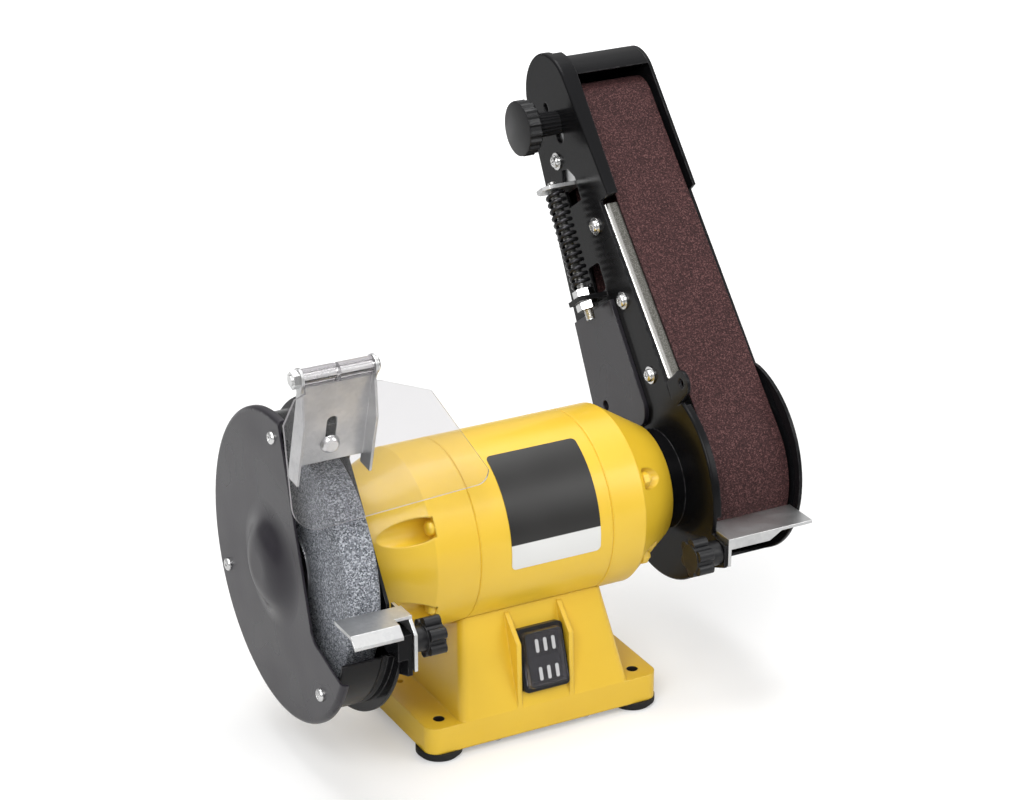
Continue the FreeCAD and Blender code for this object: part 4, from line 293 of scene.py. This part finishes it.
PLATE_LEFT, PLATE_RIGHT = -0.024, 0.035
PLATE_LOW, PLATE_HIGH = math.radians(-8.0), math.radians(67.0)
PLATE_SHEET = 0.0004
PLATE_CORNER = 0.003
SHELL_RADIUS = 0.0555
SHAFT_HEIGHT = 0.124
bm = bmesh.new()
arc = SHELL_RADIUS * (PLATE_HIGH - PLATE_LOW)
flat = Matrix.Translation(((PLATE_LEFT + PLATE_RIGHT) / 2, SHELL_RADIUS * (PLATE_LOW + PLATE_HIGH) / 2, 0.0))
cut_size = Matrix.Diagonal((PLATE_RIGHT - PLATE_LEFT, arc, 1.0, 1.0))
bmesh.ops.create_grid(bm, x_segments=1, y_segments=1, size=0.5)
bmesh.ops.transform(bm, matrix=flat @ cut_size, verts=bm.verts)
bmesh.ops.bevel(bm, geom=bm.verts[:], offset=PLATE_CORNER, offset_type="OFFSET", segments=6, profile=0.5,
                affect="VERTICES", material=-1)
PLATE_STRIPS = 28
for strip in range(1, PLATE_STRIPS):
    cut = SHELL_RADIUS * PLATE_LOW + arc * strip / PLATE_STRIPS
    sheet = bm.verts[:] + bm.edges[:] + bm.faces[:]
    bmesh.ops.bisect_plane(bm, geom=sheet, dist=1e-7, plane_co=(0.0, cut, 0.0), plane_no=(0.0, 1.0, 0.0))
for vert in bm.verts:
    turn = vert.co.y / SHELL_RADIUS
    vert.co = (vert.co.x, -SHELL_RADIUS * math.cos(turn), SHAFT_HEIGHT + SHELL_RADIUS * math.sin(turn))
rolled = bmesh.ops.extrude_face_region(bm, geom=bm.faces[:])
for vert in [v for v in rolled["geom"] if isinstance(v, bmesh.types.BMVert)]:
    out = Vector((0.0, vert.co.y, vert.co.z - SHAFT_HEIGHT)).normalized()
    vert.co += out * PLATE_SHEET
plate_print, spot = start_finish("plate_print", {"Specular IOR Level": 0.4})
height = spot.node("SeparateXYZ", {}, {"Vector": spot}, "Z")
BAND_TOP = SHAFT_HEIGHT + SHELL_RADIUS * math.sin(math.radians(8.0))
band = height.spread(BAND_TOP - 0.0002, BAND_TOP + 0.0002, 1.0, 0.0)
field = spot.noise(35.0, 0.0).tint((0.014, 0.0135, 0.013), (0.022, 0.021, 0.020))
pale = spot.noise(35.0, 0.0).tint((0.66, 0.66, 0.645), (0.74, 0.74, 0.725))
end_finish(plate_print, {
    "Base Color": band.tint(field, pale),
    "Roughness": spot.noise(25.0, 0.0).spread(0.2, 0.8, 0.28, 0.40),
    "Normal": bumped(spot, spot.noise(800.0, 0.0), 0.000005),
})
piece("nameplate", bm, plate_print, "housing")


# Motor inside: stacked core plates, lacquered copper heads, a turned steel shaft in ball bearings,
# all closed in by the housing.
steel = plain_finish("steel", (0.42, 0.43, 0.44), (0.58, 0.58, 0.59),
                     rough=0.30, texture=900.0, depth=0.00001, metal=1.0, worn_and_lit=0.4)
copper = plain_finish("copper", (0.60, 0.26, 0.12), (0.76, 0.38, 0.20),
                      rough=0.28, texture=500.0, depth=0.00003, metal=1.0)
dress(steel, "stator_core", "rotor_core", "rotor_shaft", "bearings")
dress(copper, "stator_windings")


# Grinding wheel: bonded aluminium oxide, blue-grey, with its open grain showing, clamped between
# two pressed flanges by the spindle nut.
GRAIN = 1350.0
stone, spot = start_finish("stone", {})
grit = spot.node("SeparateColor", {}, {"Color": spot.grains(GRAIN)})
fine = spot.noise(900.0, 2.0)
fleck = grit * 0.7 + fine * 0.3
body_grey = fleck.spread(0.18, 0.60).tint((0.065, 0.071, 0.082), (0.25, 0.265, 0.295))
end_finish(stone, {
    "Base Color": fleck.spread(0.62, 0.80).tint(body_grey, (0.50, 0.52, 0.56)),
    "Roughness": fleck.spread(0.2, 0.8, 0.95, 0.62),
    "Normal": bumped(spot, fleck, 0.00016),
})
dress(stone, "grinding_wheel")
dress(steel, "inner_flange", "outer_flange", "wheel_nut")


# Wheel guard: a rolled black drum on the left bell, and a pressed cover with a domed middle and a
# rolled rim, both painted and held by small screws.
def guard_finish(name, deep, sheen, rough, gloss, turn):
    """Sprayed sheet steel: a smooth satin coat with faint flow, and edges lightened as wear and as a painted
    highlight.
    """
    material, spot = start_finish(name, {"Specular IOR Level": gloss})
    flow = spot.noise(11.0, 1.0)
    worn_and_lit = edges(spot, turn) * spot.noise(240.0).spread(0.38, 0.62)
    end_finish(material, {
        "Base Color": (worn_and_lit * 0.5).tint(flow.spread(0.3, 0.7).tint(deep, sheen), (0.10, 0.095, 0.10)),
        "Roughness": spot.noise(24.0, 1.0).spread(0.3, 0.7, rough - 0.05, rough + 0.06),
        "Normal": bumped(spot, spot.noise(420.0, 0.0), 0.00002, eased(spot, turn)),
    })
    return material


grey_paint = guard_finish("grey_paint", (0.014, 0.0120, 0.0165), (0.020, 0.0175, 0.0235),
                          rough=0.30, gloss=0.45, turn=0.0009)
black_paint = guard_finish("black_paint", (0.004, 0.004, 0.0045), (0.007, 0.007, 0.008),
                           rough=0.22, gloss=0.13, turn=0.0013)
dress(grey_paint, "guard_cover")
dress(black_paint, "guard_drum")


# Small screws: zinc-plated pan heads with a cross recess, some on washers, driven into lugs of the
# guard, the arm's plate and the hood's bosses.
bright_zinc = zinc_finish("bright_zinc", (0.80, 0.80, 0.79), (0.64, 0.64, 0.64), rough=0.24, grain=300.0)
WASHER_SHEET = 0.001
SHANK_SHOWN = 0.004


def islands(name):
    """The low and high corners of each separate solid of a CAD node."""
    bm = bmesh.new()
    bm.from_mesh(node[name].data)
    bmesh.ops.remove_doubles(bm, verts=bm.verts, dist=1e-6)
    left = set(bm.verts)
    corners = []
    while left:
        front = [left.pop()]
        places = []
        while front:
            vert = front.pop()
            places.append(vert.co.copy())
            near = [edge.other_vert(vert) for edge in vert.link_edges]
            front += [other for other in near if other in left]
            left.difference_update(near)
        axes = list(zip(*places))
        corners.append((Vector([min(axis) for axis in axes]), Vector([max(axis) for axis in axes])))
    bm.free()
    return sorted(corners, key=lambda pair: tuple(pair[0]))


def draw_down(bm, loop, wide, steps):
    """Draws an open round edge down -Z through rings of given radii and depths, and returns the last one."""
    deep = 0.0
    for radius, down in steps:
        ring = bmesh.ops.extrude_edge_only(bm, edges=loop)["geom"]
        loop = [e for e in ring if isinstance(e, bmesh.types.BMEdge)]
        verts = [v for v in ring if isinstance(v, bmesh.types.BMVert)]
        bmesh.ops.scale(bm, vec=(radius / wide, radius / wide, 1.0), verts=verts)
        bmesh.ops.translate(bm, vec=(0.0, 0.0, down - deep), verts=verts)
        wide, deep = radius, down
    return loop


def pan_head(bm, head, rise, base, turn, shank, place):
    """A pan head up +Z with its cross recess, its washer if base is wider, and the start of its shank."""
    before = set(bm.verts)
    crown = head * 0.6
    arm, half, depth = head * 0.52, head * 0.13, rise * 0.55
    bmesh.ops.create_circle(bm, cap_ends=True, segments=32, radius=crown)
    for way in ((1.0, 0.0, 0.0), (0.0, 1.0, 0.0)):
        for reach in (-arm, -half, half, arm):
            patch = [face for face in bm.faces if not before & set(face.verts)]
            geom = set(patch)
            for face in patch:
                geom.update(face.edges, face.verts)
            bmesh.ops.bisect_plane(bm, geom=list(geom), dist=1e-7, plane_co=Vector(way) * reach, plane_no=way)
    patch = [face for face in bm.faces if not before & set(face.verts)]
    cross = []
    for face in patch:
        middle = face.calc_center_median()
        long, short = max(abs(middle.x), abs(middle.y)), min(abs(middle.x), abs(middle.y))
        if long < arm and short < half:
            cross.append(face)
    hole = bmesh.ops.dissolve_faces(bm, faces=cross)["region"]
    floor = bmesh.ops.extrude_face_region(bm, geom=hole)["geom"]
    bmesh.ops.delete(bm, geom=hole, context="FACES_KEEP_BOUNDARY")
    low = [v for v in floor if isinstance(v, bmesh.types.BMVert)]
    bmesh.ops.scale(bm, vec=(0.78, 0.78, 1.0), verts=low)
    bmesh.ops.translate(bm, vec=(0.0, 0.0, -depth), verts=low)
    loop = [e for e in bm.edges if e.is_boundary and not before & set(e.verts)]
    steps = ((head * 0.82, -rise * 0.16), (head * 0.95, -rise * 0.42), (head, -rise * 0.75), (head, -rise))
    sheet = WASHER_SHEET if base > head else 0.0
    steps += ((base, -rise), (base, -rise - sheet)) if sheet else ()
    steps += ((shank, -rise - sheet), (shank, -rise - SHANK_SHOWN))
    loop = draw_down(bm, loop, crown, steps)
    bmesh.ops.edgeloop_fill(bm, edges=loop)
    fresh = [vert for vert in bm.verts if vert not in before]
    bmesh.ops.transform(bm, matrix=place @ Matrix.Rotation(turn, 4, "Z"), verts=fresh)


def screw_set(name, side, head, rise, shank, washer=0.0):
    """Replaces a CAD node of screws along X by heads with recesses; side is -1 for heads to the left."""
    bm = bmesh.new()
    for row, (low, high) in enumerate(islands(name)):
        middle = (low + high) / 2
        middle.x = low.x if side < 0 else high.x
        place = Matrix.Translation(middle) @ Matrix.Rotation(math.radians(90.0 * side), 4, "Y")
        pan_head(bm, head, rise, max(head, washer), math.radians(23.0 + 31.0 * row), shank, place)
    made = piece(name + "_heads", bm, bright_zinc, node[name]["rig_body"], 30.0)
    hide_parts(name)


screw_set("cover_screws", -1, head=0.004, rise=0.0024, shank=0.002)
dress(bright_zinc, "guard_screws", "base_screws", "saddle_screws", "arm_clamp_screw")


# Eye shield: a clear moulded sheet on a bent zinc bracket, which slides on its bolt above the wheel.
# Its faces are clear, and its cut edges are matt, with a painted grey shade on them.
HARD_CLEAR = {"Base Color": (0.93, 0.92, 0.93, 1.0), "Transmission Weight": 1.0, "IOR": 1.47}
clear_sheet, spot = start_finish("clear_sheet", HARD_CLEAR)
end_finish(clear_sheet, {
    "Roughness": spot.noise(70.0, 6.0).spread(0.3, 0.75, 0.0, 0.05),
    "Normal": bumped(spot, spot.noise(18.0, 2.0), 0.00006),
})
PANEL_FACE = (0.0, -0.972, 0.234)
tree = clear_sheet.node_tree
facing = spot.node("VectorMath", {"operation": "DOT_PRODUCT"},
                   {0: spot.node("TexCoord", out="Normal"), 1: PANEL_FACE}, "Value")
on_edge = spot.node("Math", {"operation": "ABSOLUTE"}, {0: facing}).spread(0.45, 0.75, 0.85, 0.0)
# The cut edges, turned away from the panel's face, get a rough grey shader: painted shade along the edges.
CUT_EDGE_PAINTED_SHADE = {"Base Color": (0.42, 0.40, 0.42, 1.0), "Roughness": 0.32, "Transmission Weight": 0.25}
frosted_and_painted_light = spot.node("BsdfPrincipled", {}, CUT_EDGE_PAINTED_SHADE)
clear = Wire(tree, tree.nodes["Principled BSDF"].outputs[0])
sheet = spot.node("MixShader", {}, {0: on_edge, 1: clear, 2: frosted_and_painted_light})
tree.links.new(sheet.socket, tree.nodes["Material Output"].inputs["Surface"])
dress(clear_sheet, "eye_shield")
dress(zinc, "shield_bracket")
dress(bright_zinc, "bracket_bolt", "hinge_bolt")


# Work rests: bent zinc plates in front of the wheel and the belt, each on a slotted foot and held
# by a moulded knob with six lobes.
dress(zinc, "wheel_rest", "belt_rest")
dress(black_paint, "wheel_rest_arm")
dress(black_plastic, "wheel_rest_knob", "belt_rest_knob")


# Belt arm: a black sheet frame with a raised grey plate on its left, a rolled hood over the belt's
# back and a cover on the right, screwed together and clamped to the right bell.
dress(black_paint, "belt_frame", "belt_hood", "side_cover")
dress(grey_paint, "frame_stiffener")
for screws in ("platen_screws", "guide_screw"):
    screw_set(screws, -1, head=0.004, rise=0.0026, shank=0.002, washer=0.0055)
screw_set("side_cover_screws", 1, head=0.0034, rise=0.0022, shank=0.0015)


# Platen, drive wheel and idler: a ground sheet backs the belt, which runs over two turned wheels.
# Its bent edge carries a painted highlight, and the strip beside the belt is painted darker and speckled.
ground_steel, spot = start_finish("ground_steel", {"Metallic": 1.0})
# Near the bend the steel is painted bright, a painted highlight; beside the belt it is painted darker, with
# speckles.
HIGHLIGHT_TO, DARKER_FROM = 0.1124, 0.1146
HIGHLIGHT_STEEL, DARKER_STEEL = (0.56, 0.55, 0.53), (0.085, 0.082, 0.072)
beside = spot.node("SeparateXYZ", {}, {"Vector": spot}, "X")
darker_beside_belt = beside.spread(HIGHLIGHT_TO, DARKER_FROM) * spot.noise(1600.0, 0.0).spread(0.2, 0.6, 0.75, 1.0)
end_finish(ground_steel, {
    "Base Color": darker_beside_belt.tint(HIGHLIGHT_STEEL, DARKER_STEEL),
    "Roughness": darker_beside_belt.spread(0.0, 1.0, 0.20, 0.42),
    "Normal": eased(spot, 0.0006),
})
dress(ground_steel, "platen")
dress(zinc, "idler_carrier")
alloy = plain_finish("alloy", (0.60, 0.61, 0.63), (0.72, 0.73, 0.75),
                     rough=0.32, texture=600.0, depth=0.00002, metal=1.0, worn_and_lit=0.4)
bronze = plain_finish("bronze", (0.48, 0.30, 0.12), (0.60, 0.40, 0.18),
                      rough=0.36, texture=900.0, depth=0.00001, metal=1.0)
dress(alloy, "drive_wheel", "idler_wheel")
dress(bronze, "idler_bushes")
dress(steel, "drive_nut", "idler_axle")


# Sanding belt: cloth coated with red-brown aluminium oxide grit and joined end to end. It is stretched
# over the drive wheel and the idler.
GRIT = 1500.0
GRIT_PALE, GRIT_DARK = (0.15, 0.065, 0.062), (0.020, 0.0075, 0.0078)
abrasive, spot = start_finish("abrasive", {"Specular IOR Level": 0.3})
grit = spot.node("SeparateColor", {}, {"Color": spot.grains(GRIT)})
fleck = grit * 0.5 + spot.noise(2600.0, 2.0) * 0.5
streak = spot.noise(30.0, 4.0).spread(0.3, 0.7)
ground = streak.tint((0.046, 0.0150, 0.0155), (0.058, 0.0195, 0.0200))
flecked = fleck.spread(0.30, 0.62).tint(GRIT_DARK, ground)
end_finish(abrasive, {
    "Base Color": fleck.spread(0.62, 0.80).tint(flecked, GRIT_PALE),
    "Roughness": fleck.spread(0.2, 0.8, 0.92, 0.66),
    "Normal": bumped(spot, fleck, 0.00022),
})
dress(abrasive, "sanding_belt")


# Belt tension: a threaded rod with two nuts runs through a blackened wound spring beside the arm's plate.
# The thread is rolled, at a pitch of one millimetre.
ARM_LEAN = math.radians(35.3)
THREAD_PITCH = 0.001
THREAD_ROOT = 0.00262
spring_steel = plain_finish("spring_steel", (0.020, 0.020, 0.022), (0.042, 0.042, 0.045),
                            rough=0.28, texture=700.0, depth=0.00002, metal=0.75, worn_and_lit=0.3)
low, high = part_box("tension_rod")
radius = (high.x - low.x) / 2
across = radius * math.cos(ARM_LEAN)
start = Vector(((low.x + high.x) / 2, low.y + across, low.z + radius * math.sin(ARM_LEAN)))
length = (high.z - low.z - 2 * radius * math.sin(ARM_LEAN)) / math.cos(ARM_LEAN)
turns = int(length / THREAD_PITCH) - 1
bm = bmesh.new()
ridge = ((THREAD_ROOT, 0.0), (radius, 0.5), (THREAD_ROOT, 1.0))
profile = [bm.verts.new((out, 0.0, up * THREAD_PITCH)) for out, up in ridge]
flanks = [bm.edges.new(pair) for pair in zip(profile, profile[1:])]
TURN_STEPS = 20
bmesh.ops.spin(bm, geom=profile + flanks, cent=(0.0, 0.0, 0.0), axis=(0.0, 0.0, 1.0),
               dvec=(0.0, 0.0, THREAD_PITCH / TURN_STEPS), angle=2 * math.pi * turns,
               steps=turns * TURN_STEPS)
bmesh.ops.remove_doubles(bm, verts=bm.verts, dist=2e-6)
lean = Matrix.Translation(start) @ Matrix.Rotation(-ARM_LEAN, 4, "X")
core = bmesh.ops.create_cone(bm, cap_ends=True, segments=24, radius1=THREAD_ROOT, radius2=THREAD_ROOT,
                             depth=length)
bmesh.ops.translate(bm, vec=(0.0, 0.0, length / 2), verts=core["verts"])
bmesh.ops.transform(bm, matrix=lean, verts=bm.verts)
rod_zinc, spot = start_finish("rod_zinc", {"Metallic": 1.0})
height = spot.node("SeparateXYZ", {}, {"Vector": spot}, "Z")
NUTS_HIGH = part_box("tension_nuts")[1].z
# The rod is painted darker above the nuts, inside the spring: painted shade from the coils.
shaded_in_spring = height.spread(NUTS_HIGH - 0.004, NUTS_HIGH + 0.004)
end_finish(rod_zinc, {
    "Base Color": shaded_in_spring.tint((0.70, 0.70, 0.69), (0.46, 0.455, 0.445)),
    "Roughness": spot.noise(300.0, 4.0).spread(0.3, 0.7, 0.24, 0.40),
})
rod = piece("tension_rod_thread", bm, rod_zinc, node["tension_rod"]["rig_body"], 50.0)
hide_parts("tension_rod")
dress(bright_zinc, "tension_nuts")
bm = bmesh.new()
bm.from_mesh(node["tension_spring"].data)
bmesh.ops.remove_doubles(bm, verts=bm.verts, dist=1e-6)
coil = piece("tension_spring_coil", bm, spring_steel, node["tension_spring"]["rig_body"], 60.0)
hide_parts("tension_spring")
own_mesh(coil)


# Tracking knob: moulded black plastic with a dished face inside a raised rim, twenty grip ribs and a
# stepped neck, on the stem that tilts the idler.
KNOB_RIBS = 20
RIB_CUT = 0.0013
RIM_EASE = 0.0012
GRIP_DEPTH = 0.0086
NECK_END = 0.004
low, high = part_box("tracking_knob")
grip = (high.z - low.z) / 2
bm = bmesh.new()
bmesh.ops.create_circle(bm, cap_ends=True, segments=4 * KNOB_RIBS, radius=grip - RIM_EASE)
bmesh.ops.inset_region(bm, faces=bm.faces[:], thickness=0.0016, depth=0.0)
dish = max(bm.faces, key=lambda face: face.calc_area())
bmesh.ops.inset_region(bm, faces=[dish], thickness=0.0012, depth=-0.0014)
rim = [edge for edge in bm.edges if edge.is_boundary]
steps = ((grip - 0.0003, -0.0004), (grip, -RIM_EASE), (grip, -GRIP_DEPTH))
draw_down(bm, rim, grip - RIM_EASE, steps)
ribbed = [vert for vert in bm.verts if vert.co.xy.length > grip - 0.0002]
for vert in ribbed:
    turn = math.degrees(math.atan2(vert.co.y, vert.co.x)) % (360.0 / KNOB_RIBS)
    if turn > 180.0 / KNOB_RIBS - 1.0:
        vert.co.xy *= 1.0 - RIB_CUT / grip
neck = (high.x - low.x) - 0.0002
back = [edge for edge in bm.edges if edge.is_boundary]
steps = ((grip - 0.002, -0.0100), (0.0088, -0.0122), (0.0078, -0.0150), (0.0074, NECK_END - neck),
         (0.0052, NECK_END - neck), (0.0052, -neck))
stem = draw_down(bm, back, grip, [(wide, down + GRIP_DEPTH) for wide, down in steps])
bmesh.ops.edgeloop_fill(bm, edges=stem)
set_down = Matrix.Translation((low.x, (low.y + high.y) / 2, (low.z + high.z) / 2))
bmesh.ops.transform(bm, matrix=set_down @ Matrix.Rotation(math.radians(-90.0), 4, "Y"), verts=bm.verts)
knob = piece("tracking_knob_grip", bm, black_plastic, "tracking_knob", 28.0)
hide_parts("tracking_knob")


# Studio: a pale floor that runs off to white, broad soft lamps above and to both sides, and the
# camera where the machine is seen a little from above and from its left.
floor_white, spot = start_finish("floor_white", {"Base Color": (0.70, 0.70, 0.70, 1.0), "Roughness": 0.9,
                                                 "Specular IOR Level": 0.1})
FLOOR_GLOW = 0.30
tree = floor_white.node_tree
seen = Wire(tree).node("LightPath", out="Is Camera Ray")
far = spot.node("VectorMath", {"operation": "LENGTH"}, {0: spot}, "Value")
far = far.spread(0.6, 2.0, FLOOR_GLOW, 1.0)
glow = Wire(tree).node("Emission", {}, {"Color": (1.0, 1.0, 1.0, 1.0), "Strength": seen * far})
both = Wire(tree).node("AddShader")
shader = tree.nodes["Principled BSDF"]
tree.links.new(shader.outputs[0], both.socket.node.inputs[0])
tree.links.new(glow.socket, both.socket.node.inputs[1])
tree.links.new(both.socket, tree.nodes["Material Output"].inputs["Surface"])
bm = bmesh.new()
bmesh.ops.create_grid(bm, x_segments=1, y_segments=1, size=6.0)
mesh = bpy.data.meshes.new("floor")
bm.to_mesh(mesh)
bm.free()
mesh.materials.append(floor_white)
floor = bpy.data.objects.new("floor", mesh)
bpy.context.scene.collection.objects.link(floor)

world = bpy.data.worlds.new("studio")
bpy.context.scene.world = world
world.use_nodes = True
tree = world.node_tree
path = Wire(tree).node("LightPath")
rays = path.socket.node.outputs
straight = Wire(tree, rays["Is Camera Ray"]) + Wire(tree, rays["Is Transmission Ray"])
mirrored = Wire(tree, rays["Is Glossy Ray"])
way = path.node("TexCoord", out="Generated")
rise = way.node("SeparateXYZ", {}, {"Vector": way}, "Z")
AMBIENT = 0.42
HORIZON = 0.22
canopy = rise.spread(0.05, 0.75, HORIZON, 1.0)
direct = straight.spread(0.0, 1.0)
level = direct + (1.0 - direct) * (mirrored * canopy + (1.0 - mirrored) * AMBIENT)
tree.links.new(level.socket, tree.nodes["Background"].inputs["Strength"])
tree.nodes["Background"].inputs["Color"].default_value = (1.0, 1.0, 1.0, 1.0)

LAMPS = (
    ("key_lamp", (-1.7, -1.9, 2.3), 1.6, 62.0),
    ("fill_lamp", (1.9, -1.7, 1.5), 1.6, 26.0),
    ("top_lamp", (0.1, 0.5, 2.6), 1.8, 44.0),
)
AIM = Vector((0.0, 0.0, 0.15))
for name, spot_at, across, watts in LAMPS:
    lamp = bpy.data.lights.new(name, "AREA")
    lamp.shape = "SQUARE"
    lamp.size = across
    lamp.energy = watts
    stand = bpy.data.objects.new(name, lamp)
    stand.location = spot_at
    stand.rotation_euler = (AIM - Vector(spot_at)).to_track_quat("-Z", "Y").to_euler()
    bpy.context.scene.collection.objects.link(stand)

FOCAL = 106.3
EYE = Vector((-0.7622, -1.4455, 0.9058))
RIGHT = Vector((0.8832, -0.4690, 0.0))
UP = Vector((0.1863, 0.3509, 0.9177))
lens = bpy.data.cameras.new("camera")
lens.lens = FOCAL
lens.sensor_width = 36.0
lens.sensor_fit = "HORIZONTAL"
eye = bpy.data.objects.new("camera", lens)
eye.matrix_world = Matrix.Translation(EYE) @ Matrix((RIGHT, UP, RIGHT.cross(UP))).transposed().to_4x4()
bpy.context.scene.collection.objects.link(eye)
bpy.context.scene.camera = eye
bpy.context.scene.view_settings.view_transform = "Standard"
